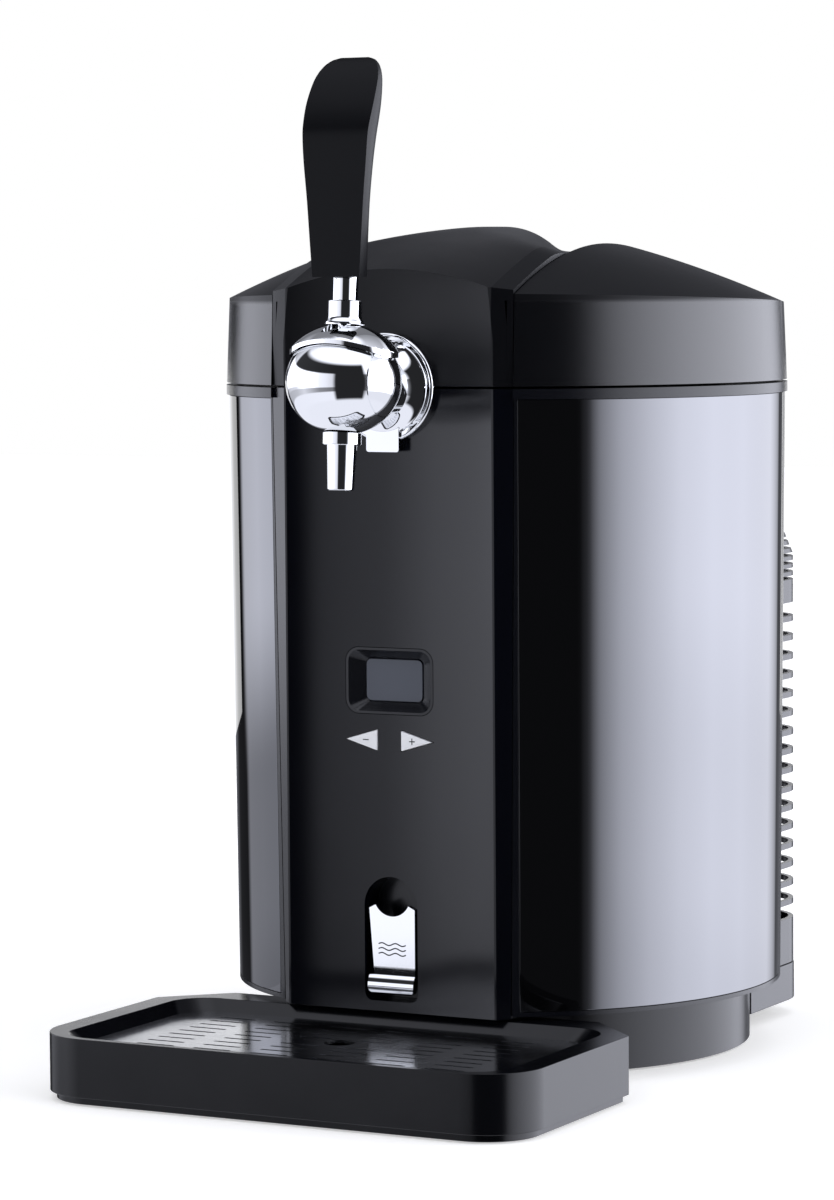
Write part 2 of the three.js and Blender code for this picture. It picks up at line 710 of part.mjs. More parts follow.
function makeSpout() {
  const start = pocketBackY - pocketWall - spoutReach;
  const end = -chord(linerOuter + seatGap, spoutRadius);
  const tube = cut(rodAlongY(spoutRadius, start, end - seatGap),
    rodAlongY(spoutBore, start - overrun, end + overrun));
  return moved(tube, 0, 0, spoutZ);
}
piece('drain_spout', makeSpout(), softBlack);

// Keg chamber: an aluminium cup hung by its lip on the deck
function makeLiner() {
  const cup = turned([[0, chamberFloorZ - linerWall], [linerOuter, chamberFloorZ - linerWall],
    [linerOuter, deckTopZ - linerLipThickness], [linerLipOuter, deckTopZ - linerLipThickness],
    [linerLipOuter, deckTopZ], [chamberRadius, deckTopZ], [chamberRadius, chamberFloorZ],
    [0, chamberFloorZ]], drumSteps);
  const drainHole = moved(rodAlongY(spoutBore, -linerOuter - overrun, -chamberRadius * half),
    0, 0, spoutZ);
  return cut(cup, drainHole, shankPass);
}
piece('keg_chamber', makeLiner(), aluminium);

// Cooler behind the chamber: block, thermoelectric module, heat sink and fan
const coolerZ = 145;
const coldBlockHalf = 24;
const coldBlockHeight = 60;
const coldBlockThickness = 15.5;
const coldBlockBackY = linerOuter + coldBlockThickness;
const moduleHalf = 20;
const moduleThickness = 4;
const sinkHalf = 56;
const sinkBaseThickness = 5;
const sinkHeight = 116;
const finDepth = 11;
const finThickness = 1.6;
const finCount = 13;
const fanHalf = 46;
const fanThickness = 13;
const fanFrameCorner = 5;
const fanHoleRadius = 42.5;
const fanBladeRadius = 40;
const fanHubRadius = 14;
const fanSpiderThickness = 1.5;
const fanArmHalf = 2;
const fanBladeCount = 7;
const fanBladeThickness = 1.2;
const fanBladePitchDegrees = 38;
const moduleBackY = coldBlockBackY + moduleThickness;
const sinkBackY = moduleBackY + sinkBaseThickness;
const finBackY = sinkBackY + finDepth;
const fanBackY = finBackY + fanThickness;

const linerSpace = drum(linerOuter + seatGap, 0, deckTopZ, drumSteps);
const coldBlockRaw = block(-coldBlockHalf, coldBlockHalf, chamberRadius * half, coldBlockBackY,
  coolerZ - coldBlockHeight * half, coolerZ + coldBlockHeight * half);
piece('cold_block', cut(coldBlockRaw, linerSpace), aluminium);
piece('thermoelectric_module', block(-moduleHalf, moduleHalf, coldBlockBackY, moduleBackY,
  coolerZ - moduleHalf, coolerZ + moduleHalf), whiteCeramic);

function makeHeatSink() {
  const low = coolerZ - sinkHeight * half;
  const high = coolerZ + sinkHeight * half;
  const base = block(-sinkHalf, sinkHalf, moduleBackY, sinkBackY, low, high);
  const firstFin = -sinkHalf + finThickness * half;
  const fins = spread(firstFin, -firstFin, finCount - 1).map((x) => block(
    x - finThickness * half, x + finThickness * half, sinkBackY - overrun, finBackY, low, high));
  return join(base, ...fins);
}
piece('heat_sink', makeHeatSink(), aluminium);

function makeFanFrame() {
  const outline = roundedRectangle(fanHalf, -fanHalf, fanHalf, fanFrameCorner, cornerSteps);
  const plate = frontPrism(outline, finBackY, fanBackY);
  const ring = cut(plate, rodAlongY(fanHoleRadius, finBackY - overrun, fanBackY + overrun,
    roundSteps));
  const spiderY = fanBackY - fanSpiderThickness;
  const arms = [block(-fanHoleRadius - overrun, fanHoleRadius + overrun, spiderY, fanBackY,
    -fanArmHalf, fanArmHalf),
  block(-fanArmHalf, fanArmHalf, spiderY, fanBackY, -fanHoleRadius - overrun,
    fanHoleRadius + overrun)];
  const boss = rodAlongY(fanHubRadius, spiderY, fanBackY);
  return join(ring, ...arms, boss);
}
piece('fan_frame', moved(makeFanFrame(), 0, 0, coolerZ), softBlack);

function makeFanRotor() {
  const hubEnd = fanBackY - fanSpiderThickness - seatGap;
  const hubStart = finBackY + seatGap;
  const hub = rodAlongY(fanHubRadius, hubStart, hubEnd);
  const middle = (hubStart + hubEnd) * half;
  const chordLength = (hubEnd - hubStart) / Math.sin(THREE.MathUtils.degToRad(fanBladePitchDegrees));
  const blades = Array.from({ length: fanBladeCount }, (_, i) => block(
    -chordLength * half, chordLength * half, -fanBladeThickness * half, fanBladeThickness * half,
    fanHubRadius * half, fanBladeRadius)
    .rotateZ(THREE.MathUtils.degToRad(fanBladePitchDegrees))
    .translate(0, middle, 0)
    .rotateY((fullTurn * i) / fanBladeCount));
  const bore = rodAlongY(fanBladeRadius, hubStart, hubEnd, roundSteps);
  return common(join(hub, ...blades), bore);
}
piece('fan_rotor', moved(makeFanRotor(), 0, 0, coolerZ), softBlack);

// Foam jacket between the chamber and the drum
const foamInset = 17.6;
const foamFrontInset = 23.1;
const foamRearInset = 2;
const foamRadius = bodyTopRadius - foamInset;
const foamFrontY = faceY + foamFrontInset;
const foamRearY = coldBlockBackY - foamRearInset;
const foamCoolerGap = 1;

function makeFoam() {
  const jacket = drum(foamRadius, basePlateTopZ, bodyTopZ, drumSteps);
  const hollow = drum(linerOuter + seatGap, chamberFloorZ - linerWall - seatGap,
    bodyTopZ + overrun, drumSteps);
  const reach = foamRadius + overrun;
  const front = block(-reach, reach, -reach, foamFrontY, 0, deckTopZ);
  const rear = block(-sinkHalf - foamCoolerGap, sinkHalf + foamCoolerGap, foamRearY, reach,
    0, deckTopZ);
  const blockHole = block(-coldBlockHalf - foamCoolerGap, coldBlockHalf + foamCoolerGap,
    chamberRadius * half, reach, coolerZ - coldBlockHeight * half - foamCoolerGap,
    coolerZ + coldBlockHeight * half + foamCoolerGap);
  const spoutHole = moved(rodAlongY(spoutRadius + seatGap, -reach, -chamberRadius), 0, 0, spoutZ);
  return cut(jacket, hollow, front, rear, blockHole, spoutHole, shankPass);
}
piece('foam_jacket', makeFoam(), whiteFoam);

// Rear housing: louvred on both sides and the back, with a sloped shoulder into the drum
const housingReach = 86.9;
const housingSideSlope = 9;
const housingBackSlope = 15.9;
const housingStartY = housingBack - housingReach;
const housingTopHalf = housingHalf - housingSideSlope;
const housingTopBack = housingBack - housingBackSlope;
const inletProud = 1.5;
const inletInset = 57;
const inletX = inletInset - housingHalf;
const inletZ = 52;
const inletHalf = 15;
const inletHeight = 20;
const inletFlangeReach = 3;
const inletDepth = 15;
const inletSocketHalf = 11;
const inletSocketHeight = 13;
const inletSocketDepth = 12;
const inletCorner = 3;
const louvrePitch = 9.6;
const louvreHeight = 6.8;
const louvreFirstZ = 50;
const louvreCount = 17;
const fineLouvrePitch = 3.9;
const fineLouvreHeight = 1.9;
const fineLouvreFirstZ = 222;
const fineLouvreCount = 9;
const louvreInset = 37;
const louvreReach = 46.9;
const louvreInnerX = housingHalf - louvreInset;
const louvreFrontY = housingBack - louvreReach;
const fanGrilleHalf = 44;
const housingCornerSteps = 3;

const housingOutline = (halfWidth, back, inset) => roundedOutline([
  [-halfWidth + inset, housingStartY, 0], [halfWidth - inset, housingStartY, 0],
  [halfWidth - inset, back - inset, housingCorner - inset],
  [-halfWidth + inset, back - inset, housingCorner - inset]], housingCornerSteps);

function housingSolid(inset, z0, z1) {
  const wide = housingOutline(housingHalf, housingBack, inset);
  const narrow = housingOutline(housingTopHalf, housingTopBack, inset);
  return loft([ringAt(wide, z0), ringAt(wide, housingShoulderZ - inset * half), ringAt(narrow, z1)]);
}

function makeHousing() {
  const outside = housingSolid(0, housingBottomZ, housingTopZ);
  const inside = housingSolid(housingWall, housingBottomZ + housingWall, housingTopZ - housingWall);
  const drumSpace = turned([[0, housingBottomZ - overrun],
    [bodyBottomRadius + seatGap, housingBottomZ - overrun],
    [bodyRadiusAt(housingTopZ) + seatGap, housingTopZ + overrun], [0, housingTopZ + overrun]],
  drumSteps);
  const reachX = housingHalf + overrun;
  const reachY = housingBack + overrun;
  const row = (z, height) => {
    const side = block(louvreInnerX, reachX, louvreFrontY, reachY, z, z + height);
    return [side, mirroredX(side)];
  };
  const coarse = Array.from({ length: louvreCount },
    (_, i) => row(louvreFirstZ + i * louvrePitch, louvreHeight)).flat();
  const fine = Array.from({ length: fineLouvreCount },
    (_, i) => row(fineLouvreFirstZ + i * fineLouvrePitch, fineLouvreHeight)).flat();
  const grille = Array.from({ length: louvreCount }, (_, i) => louvreFirstZ + i * louvrePitch)
    .filter((z) => Math.abs(z + louvreHeight * half - coolerZ) < fanGrilleHalf + louvrePitch)
    .map((z) => block(-fanGrilleHalf, fanGrilleHalf, housingBack - housingWall - overrun, reachY,
      z, z + louvreHeight));
  const inlet = moved(frontPrism(roundedRectangle(inletHalf + seatGap, -inletHeight * half - seatGap,
    inletHeight * half + seatGap, inletCorner), housingBack - housingWall - overrun, reachY),
  inletX, 0, inletZ);
  const shell = cut(outside, inside, drumSpace);
  return cut(shell, ...coarse, ...fine, ...grille, inlet);
}
piece('rear_housing', makeHousing(), satinBlack);

function makeInlet() {
  const bodyPart = frontPrism(roundedRectangle(inletHalf, -inletHeight * half, inletHeight * half,
    inletCorner), housingBack - inletDepth, housingBack + inletProud);
  const flange = frontPrism(roundedRectangle(inletHalf + inletFlangeReach,
    -inletHeight * half - inletFlangeReach, inletHeight * half + inletFlangeReach, inletCorner),
  housingBack, housingBack + inletProud);
  const socket = frontPrism(roundedRectangle(inletSocketHalf, -inletSocketHeight * half,
    inletSocketHeight * half, inletCorner * half), housingBack + inletProud - inletSocketDepth,
  housingBack + inletProud + overrun);
  return moved(cut(join(bodyPart, flange), socket), inletX, 0, inletZ);
}
piece('power_inlet', makeInlet(), softBlack);

// Rear foot: the block below the housing, cut round the base foot
const rearFootBottomZ = 8.3;
const rearFootSetback = 9;
const rearFootFrontY = housingStartY + rearFootSetback;
const rearFootTrim = 0.6;
const rearFootTopZ = housingBottomZ - seatGap;

function makeRearFoot() {
  const outline = roundedOutline([
    [-housingHalf - rearFootTrim, rearFootFrontY, 0], [housingHalf + rearFootTrim, rearFootFrontY, 0],
    [housingHalf + rearFootTrim, housingBack - rearFootTrim, housingCorner],
    [-housingHalf - rearFootTrim, housingBack - rearFootTrim, housingCorner]], cornerSteps);
  const slab = upright(outline, rearFootBottomZ, rearFootTopZ);
  const footSpace = moved(drum(footRadius + seatGap, 0, bodyBottomZ, drumSteps), 0, footCentreY, 0);
  return cut(slab, footSpace);
}
piece('rear_foot', makeRearFoot(), satinBlack);

// Power board on legs in the base foot
const powerHalf = 50;
const powerDepth = 62;
const powerY = 30;
const powerZ = 11;
const powerLegRadius = 3;
const powerThickness = 1.6;
const transformerHalf = 16;
const transformerHeight = 13;
const capacitorRadius = 5;
const powerEdge = 6;

function makePowerBoard() {
  const top = powerZ + powerThickness;
  const plate = block(-powerHalf, powerHalf, powerY - powerDepth * half, powerY + powerDepth * half,
    powerZ, top);
  const legX = powerHalf - powerEdge;
  const legY = powerDepth * half - powerEdge;
  const legs = [-1, 1].flatMap((sx) => [-1, 1].map((sy) => moved(
    drum(powerLegRadius, padProud + footFloor, powerZ + powerThickness * half, smallSteps),
    sx * legX, powerY + sy * legY, 0)));
  const transformer = block(-transformerHalf, transformerHalf, powerY - transformerHalf,
    powerY + transformerHalf, top - powerThickness * half, top + transformerHeight);
  const capacitors = [-1, 1].map((side) => moved(
    drum(capacitorRadius, top - powerThickness * half, top + transformerHeight, smallSteps),
    side * (transformerHalf + capacitorRadius * 2), powerY, 0));
  return join(plate, ...legs, transformer, ...capacitors);
}
piece('power_board', makePowerBoard(), boardGreen);

// Lid: a domed shell, the cover along its middle, an inner pan, a gasket and the hinge
const stripDepth = 3;
const stripWall = 3.5;
const domeSteps = 9;
const lidTall = 60;
const fasciaFlangeBack = panelFlangeBack + 4;
const panBottomZ = lidBottomZ + 2.2;
const panThickness = 2;
const panHatInset = 4;
const panHatRadius = chamberRadius - panHatInset;
const panHatTopZ = 372;
const panHatShoulder = 8;
const gasketSet = 3.5;
const gasketWidth = 5;
const gasketInner = linerLipOuter + gasketSet;
const gasketOuter = gasketInner + gasketWidth;
const lidDraft = (lidBottomRadius - lidEdgeRadius) / (lidEdgeZ - lidBottomZ);
const lidTopZ = lidEdgeZ + lidTall;

const lidFrustum = (inset, z0, z1) => turned([[0, z0],
  [lidBottomRadius - inset - lidDraft * (z0 - lidBottomZ), z0],
  [lidBottomRadius - inset - lidDraft * (z1 - lidBottomZ), z1], [0, z1]], drumSteps);

function domeSolid(offset, steps) {
  const rings = spread(0, lidBottomRadius + overrun, steps).map((r) => [r, lidEdgeZ]);
  const floorZ = lidBottomZ - lidTall;
  const solid = turned([...rings, [lidBottomRadius + overrun, floorZ], [0, floorZ]], drumSteps);
  const place = solid.attributes.position;
  for (let i = 0; i < place.count; i += 1) {
    if (place.getZ(i) > floorZ + overrun) {
      place.setZ(i, domeZ(place.getX(i), place.getY(i), offset));
    }
  }
  return solid;
}

const stripXs = [-panelTopHalf, ...spread(-panelFlatHalf, panelFlatHalf, 10), panelTopHalf];
const stripYs = spread(faceY, lidBottomRadius, 26);
const bedYs = spread(-lidBottomRadius - overrun, lidBottomRadius + overrun, 12);
const channelReach = panelTopHalf + coverGap;
const bedZ = (x, y) => bandZ(x, y) - stripDepth;

function makeLidShell() {
  const outside = common(lidFrustum(0, lidBottomZ, lidTopZ), domeSolid(0, domeSteps));
  const inside = common(lidFrustum(lidWall, lidBottomZ - overrun, lidTopZ),
    domeSolid(-lidWall * 2, domeSteps - 4));
  const channelWall = between(spread(-channelReach - lidWall, channelReach + lidWall, 4), bedYs,
    (x, y) => bedZ(x, y) - lidWall, () => lidTopZ + overrun);
  const channel = between(spread(-channelReach, channelReach, 4), bedYs, bedZ, () => lidTopZ);
  const fasciaSpace = block(-channelReach, channelReach, -lidBottomRadius - overrun,
    -fasciaFlangeBack + slideGap, lidBottomZ - overrun, lidTopZ);
  return cut(outside, cut(inside, channelWall), channel, fasciaSpace);
}
piece('lid_shell', makeLidShell(), grainBlack);

function makeLidCover() {
  const edgeY = -chord(lidBottomRadius - deckProud, panelTopHalf);
  const plan = upright([[-panelTopHalf, edgeY], [-panelFlatHalf, faceY], [panelFlatHalf, faceY],
    [panelTopHalf, edgeY], [panelTopHalf, lidBottomRadius], [-panelTopHalf, lidBottomRadius]],
  lidBottomZ, lidTopZ);
  const skin = between(stripXs, stripYs, () => lidBottomZ - overrun, stripZ);
  const reach = panelTopHalf + overrun;
  const belowBed = between(spread(-reach, reach, 4),
    spread(-fasciaFlangeBack, lidBottomRadius + overrun, 12),
    () => lidBottomZ - overrun * 2, (x, y) => bedZ(x, y) + coverGap);
  const inner = panelTopHalf - panelFlangeWall;
  const behindFascia = between(spread(-inner, inner, 4),
    [panelBackY, -fasciaFlangeBack - overrun * half, -fasciaFlangeBack + overrun],
    () => lidBottomZ - overrun * 2, bedZ);
  const hollow = between(spread(-panelFlatHalf, panelFlatHalf, 10), spread(panelBackY, 0, 10),
    (x, y) => bedZ(x, y) - overrun * 2,
    (x, y) => Math.max(stripZ(x, y) - stripWall, bedZ(x, y) - overrun));
  const solid = common(plan, skin, lidFrustum(0, lidBottomZ, lidTopZ + overrun));
  return cut(solid, belowBed, behindFascia, hollow, shankNotch);
}
piece('lid_centre_cover', makeLidCover(), grainBlack);

function makeLidPan() {
  const outer = lidBottomRadius - lidWall - coverGap;
  const hatTop = panHatTopZ;
  const shoulderZ = hatTop - panHatShoulder;
  const profile = [[0, hatTop - panThickness], [panHatRadius - panHatShoulder, hatTop - panThickness],
    [panHatRadius - panThickness, shoulderZ], [panHatRadius - panThickness, panBottomZ],
    [outer, panBottomZ], [outer, panBottomZ + panThickness],
    [panHatRadius, panBottomZ + panThickness], [panHatRadius, shoulderZ],
    [panHatRadius - panHatShoulder, hatTop], [0, hatTop]];
  const frontGap = block(-channelReach, channelReach, -lidBottomRadius,
    -fasciaFlangeBack + slideGap, panBottomZ - overrun, hatTop);
  return cut(turned(profile, drumSteps), frontGap, shankPass);
}
piece('lid_inner_pan', makeLidPan(), grainBlack);
piece('lid_gasket', cut(drumRing(gasketInner, gasketOuter, deckTopZ + seatGap, panBottomZ,
  drumSteps), shankPass), softBlack);

// Hinge behind the drum: a bracket on the shell, an arm on the lid and a pin through both
const hingeProud = 5.4;
const hingeY = lidBottomRadius + hingeProud;
const hingeZ = 320.5;
const hingeKnuckleRadius = 4.6;
const hingePinRadius = 2;
const hingePinGap = 0.05;
const hingeInnerHalf = 26;
const hingeOuterHalf = 42;
const bracketBottomZ = 292;
const bracketProud = 2;
const bracketBackY = hingeY + bracketProud;
const bracketMiddleZ = 312;
const armTopZ = 346;
const armThickness = 5;

function makeHingeBracket() {
  const slab = block(-hingeOuterHalf, hingeOuterHalf, bodyBottomRadius * half, bracketBackY,
    bracketBottomZ, bracketMiddleZ);
  const cheeks = [-1, 1].map((side) => {
    const [a, b] = [side * (hingeInnerHalf + slideGap), side * hingeOuterHalf];
    const [x0, x1] = [Math.min(a, b), Math.max(a, b)];
    return join(moved(rodAlongX(hingeKnuckleRadius, x0, x1), 0, hingeY, hingeZ),
      block(x0, x1, hingeY - hingeKnuckleRadius, bracketBackY,
        bracketMiddleZ - overrun, hingeZ));
  });
  const drumSpace = drum(bodyTopRadius + deckProud + seatGap, 0, deckTopZ + overrun, drumSteps);
  const shellSpace = bodyFrustum(-seatGap, bodyBottomZ, deckTopZ);
  const seat = block(-hingeOuterHalf - overrun, hingeOuterHalf + overrun, 0,
    hingeY - hingeKnuckleRadius, bracketMiddleZ, deckTopZ);
  const pinHole = moved(rodAlongX(hingePinRadius + hingePinGap, -hingeOuterHalf - overrun,
    hingeOuterHalf + overrun), 0, hingeY, hingeZ);
  return cut(join(slab, ...cheeks), shellSpace, common(drumSpace, seat), pinHole);
}
piece('hinge_bracket', makeHingeBracket(), satinBlack);

function makeHingeArm() {
  const knuckle = moved(rodAlongX(hingeKnuckleRadius, -hingeInnerHalf, hingeInnerHalf),
    0, hingeY, hingeZ);
  const lift = lidBottomZ + seatGap;
  const post = block(-hingeInnerHalf, hingeInnerHalf, hingeY - hingeKnuckleRadius,
    hingeY - hingeKnuckleRadius + armThickness, hingeZ, armTopZ);
  const plate = block(-hingeInnerHalf, hingeInnerHalf, lidBottomRadius * half,
    hingeY - hingeKnuckleRadius + armThickness, lift, armTopZ);
  const lidSpace = turned([[0, lift - overrun], [lidBottomRadius + seatGap, lift - overrun],
    [lidBottomRadius + seatGap - lidDraft * (armTopZ - lidBottomZ), armTopZ + overrun],
    [0, armTopZ + overrun]], drumSteps);
  const pinHole = moved(rodAlongX(hingePinRadius + hingePinGap, -hingeInnerHalf - overrun,
    hingeInnerHalf + overrun), 0, hingeY, hingeZ);
  return cut(join(knuckle, post, plate), lidSpace, pinHole);
}
piece('lid_hinge_arm', makeHingeArm(), satinBlack);
piece('hinge_pin', moved(rodAlongX(hingePinRadius, -hingeOuterHalf, hingeOuterHalf),
  0, hingeY, hingeZ), polishedSteel);

// Tap: flange on the panel, shank to the coupler, hollow ball, bonnet, nozzle and lever.
// Its upright pieces lean back a little about the ball's centre.
const flangeRim = 3.4;
const flangeNeckRadius = 15.5;
const flangeNeckDepth = 9;
const lugHalf = 8.5;
const lugBottomZ = 294.8;
const lugDepth = 5;
const neckRadius = 12.5;
const neckStart = 12;
const shankSeat = 23;
const ballSteps = 8;
const ballBore = 15.5;
const shankBore = 5.6;
const shankStep = 4;
const shankInnerEnd = shankPassInner + shankStep;
const shankThinRadius = 6.4;

const flangeFront = panelFaceDistance + flangeNeckDepth;

function makeFlange() {
  const disc = turnedAlongY([[0, faceY], [flangeRadius, faceY],
    [flangeRadius, faceY - flangeRim * half], [flangeRadius - flangeRim, faceY - flangeRim],
    [flangeNeckRadius + flangeRim, faceY - flangeRim - overrun],
    [flangeNeckRadius, -flangeFront], [0, -flangeFront]]);
  const lug = frontPrism(roundedRectangle(lugHalf, lugBottomZ - seamZ, 0, lugDepth * half * half),
    faceY - lugDepth, faceY);
  const bore = rodAlongY(shankRadius + seatGap, -flangeFront - overrun, faceY + overrun);
  return moved(cut(join(disc, lug), bore), 0, 0, seamZ);
}
piece('tap_flange', makeFlange(), chrome);

const couplerRadius = 20;
const couplerBottomZ = 304;
const couplerTopZ = 338;

function makeShank() {
  const start = shankSeat - tapDistance;
  const inner = -couplerRadius - seatGap;
  const rod = join(rodAlongY(shankRadius, start, -shankInnerEnd),
    rodAlongY(shankThinRadius, -shankInnerEnd - overrun, inner));
  const bore = rodAlongY(shankBore, start - overrun, -shankInnerEnd);
  const thinBore = rodAlongY(shankBore * half, -shankInnerEnd - overrun, inner + overrun);
  return moved(cut(rod, bore, thinBore), 0, 0, seamZ);
}
piece('tap_shank', makeShank(), polishedSteel);

const coupler = cut(drum(couplerRadius, couplerBottomZ, couplerTopZ),
  moved(rodAlongY(shankBore * half, -couplerRadius - overrun, 0), 0, 0, seamZ));
piece('keg_coupler', coupler, softBlack);

// Gas regulator on the coupler, with its cartridge sleeve and knob
const regulatorRadius = 16;
const regulatorTopZ = 359;
const sleeveRadius = 10;
const sleeveEnd = chamberRadius - shankPassDepth;
const sleeveCap = 4;
const knobRadius = 10;
const knobHeight = 7.5;
const knobGrips = 8;
const knobGripDepth = 1.2;
const sleeveZ = (couplerTopZ + regulatorTopZ) * half;

piece('gas_regulator', drum(regulatorRadius, couplerTopZ, regulatorTopZ, roundSteps), brass);
piece('gas_cartridge_sleeve', moved(turnedAlongY([[0, regulatorRadius + seatGap],
  [sleeveRadius, regulatorRadius + seatGap], [sleeveRadius, sleeveEnd - sleeveCap],
  [sleeveRadius - sleeveCap, sleeveEnd], [0, sleeveEnd]], smallSteps), 0, 0, sleeveZ), aluminium);

function makeKnob() {
  const top = regulatorTopZ + seatGap + knobHeight;
  const grips = Array.from({ length: knobGrips }, (_, i) => {
    const angle = (fullTurn * i) / knobGrips;
    return moved(drum(knobGripDepth, regulatorTopZ, top + overrun, smallSteps),
      knobRadius * Math.cos(angle), knobRadius * Math.sin(angle), 0);
  });
  return cut(drum(knobRadius, regulatorTopZ + seatGap, top), ...grips);
}
piece('regulator_knob', makeKnob(), softBlack);

// The ball and what turns with the lever, in a frame centred on the ball
const tapFrame = new THREE.Group();
tapFrame.position.set(0, -tapDistance, ballZ);
dispenser.add(tapFrame);
const leaningFrame = new THREE.Group();
leaningFrame.rotation.x = -THREE.MathUtils.degToRad(tapLeanDegrees);
tapFrame.add(leaningFrame);

const seamHalf = 20.4;
const seamWidth = 0.8;
const seamDepth = 0.5;
const bonnetProud = 2.7;
const bonnetRadius = ballRadius + bonnetProud;
const bonnetHalf = ballHalf + bonnetProud;
const bonnetEdgeZ = 15;
const bonnetEdgeProud = 1.4;
const bonnetEdgeHalf = 26;
const bonnetArch = 60;
const bonnetSteps = 14;
const nozzleCollarRadius = 8.9;
const nozzleCollarTop = -19.5;
const nozzleCollarBottom = -30.4;
const nozzleTopRadius = 6.9;
const nozzleTipRadius = 6.2;
const nozzleTip = -51;
const nozzleBore = 4.4;
const stemSlotHalf = 4.2;
const stemRodRadius = 3.4;
const slotFront = 15;
const seamOffset = seamZ - ballZ;

// An egg shape about the tap's cross axis, its middle a little under the pivot
const egg = (radius, halfWidth, steps = roundSteps) => turnedAlongY(
  spread(0, Math.PI, ballSteps * 2).map((angle) => [
    radius * Math.sin(angle), -halfWidth * Math.cos(angle)]), steps)
  .rotateZ(-quarterTurn).translate(0, 0, -ballDrop);

function makeBall() {
  const neckEnd = tapDistance - flangeFront - seatGap;
  const neck = moved(rodAlongY(neckRadius, neckStart, neckEnd, roundSteps), 0, 0, seamOffset);
  const seamRadius = ballRadius * chord(1, seamHalf / ballHalf);
  const seamCutter = turnedAlongY([[seamRadius - seamDepth, seamHalf],
    [ballRadius, seamHalf], [ballRadius, seamHalf + seamWidth],
    [seamRadius - seamDepth, seamHalf + seamWidth], [seamRadius - seamDepth, seamHalf]],
  roundSteps).rotateZ(-quarterTurn).translate(0, 0, -ballDrop);
  const hollow = turnedAlongY(spread(0, Math.PI, ballSteps).map((angle) => [
    ballBore * Math.sin(angle), -ballBore * Math.cos(angle)]), smallSteps);
  const well = drum(ballBore - overrun, 0, ballRadius + overrun, smallSteps);
  const plungerHole = moved(rodAlongY(shankBore, 0, neckEnd + overrun), 0, 0, seamOffset);
  const shankHole = moved(rodAlongY(shankRadius + seatGap, shankSeat - seatGap, neckEnd + overrun),
    0, 0, seamOffset);
  const outlet = drum(nozzleBore, -ballRadius - ballDrop - overrun, 0, smallSteps)
    .rotateX(-THREE.MathUtils.degToRad(tapLeanDegrees));
  const pinReach = pivotPinHalf + seatGap;
  const pinHole = rodAlongX(pivotPinRadius + hingePinGap, -pinReach, pinReach, smallSteps);
  return cut(join(egg(ballRadius, ballHalf), neck), seamCutter, mirroredX(seamCutter), hollow,
    well, plungerHole, shankHole, outlet, pinHole);
}

const pivotPinRadius = 2.2;
const pivotPinHalf = 18.5;
piece('tap_ball', makeBall(), chrome, tapFrame);
piece('lever_pin', rodAlongX(pivotPinRadius, -pivotPinHalf, pivotPinHalf, smallSteps),
  polishedSteel, tapFrame);

// The bonnet's lower edge is an arch over the ball, drawn from the front
const bonnetFall = (x) => bonnetArch - chord(bonnetArch, x);

function makeBonnet() {
  const high = bonnetRadius + overrun;
  const deep = bonnetRadius * 2;
  const edgeX = spread(-bonnetEdgeHalf, bonnetEdgeHalf, bonnetSteps);
  const front = edgeX.map((x) => {
    const acrossShare = x / (ballHalf + bonnetEdgeProud);
    const upShare = (bonnetEdgeZ + ballDrop - bonnetFall(x)) / (ballRadius + bonnetEdgeProud);
    const reach = Math.sqrt(Math.max(0, 1 - acrossShare ** 2 - upShare ** 2));
    return [x, -reach * (ballRadius + bonnetEdgeProud)];
  });
  const back = front.slice(1, -1).map(([x, y]) => [x, -y]).reverse();
  const wall = upright([...front, ...back], 0, high);
  const arch = frontPrism([[-bonnetHalf, -high], [bonnetHalf, -high],
    ...edgeX.map((x) => [x, bonnetEdgeZ - bonnetFall(x)]).reverse()], -deep, deep);
  const slot = block(-stemSlotHalf, stemSlotHalf, -slotFront, stemSlotHalf, 0, high);
  return cut(common(wall, egg(bonnetRadius, bonnetHalf)), arch,
    egg(ballRadius + seatGap, ballHalf + seatGap), slot);
}
piece('tap_bonnet', makeBonnet(), chrome, leaningFrame);

function makeNozzle() {
  const collar = turned([[0, nozzleTip], [nozzleTipRadius, nozzleTip],
    [nozzleTopRadius, nozzleCollarBottom], [nozzleCollarRadius, nozzleCollarBottom],
    [nozzleCollarRadius, nozzleCollarTop], [0, nozzleCollarTop]], roundSteps);
  const bore = drum(nozzleBore, nozzleTip - overrun, nozzleCollarTop + overrun, smallSteps);
  return cut(collar, bore, egg(ballRadius + coverGap, ballHalf + coverGap));
}
piece('tap_nozzle', makeNozzle(), chrome, leaningFrame);

// Lever: the stem slides over the bonnet, turns on the pin and works the plunger
const stemFlareRadius = 9;
const stemLowRadius = 7.75;
const stemHighRadius = 5.8;
const stemStepZ = 35.3;
const stemTopZ = 50;
const stemSweep = 44.5;
const stemBase = bonnetRadius + seatGap
  - ballDrop * Math.cos(THREE.MathUtils.degToRad(stemSweep));
const stemFlareTop = 28;
const leverHubRadius = 4;
const leverHubHalf = 4;
const leverToe = 9;
const leverToeTop = 4.5;
const leverToeHalf = 2.5;
const leverToeRear = 3.8;

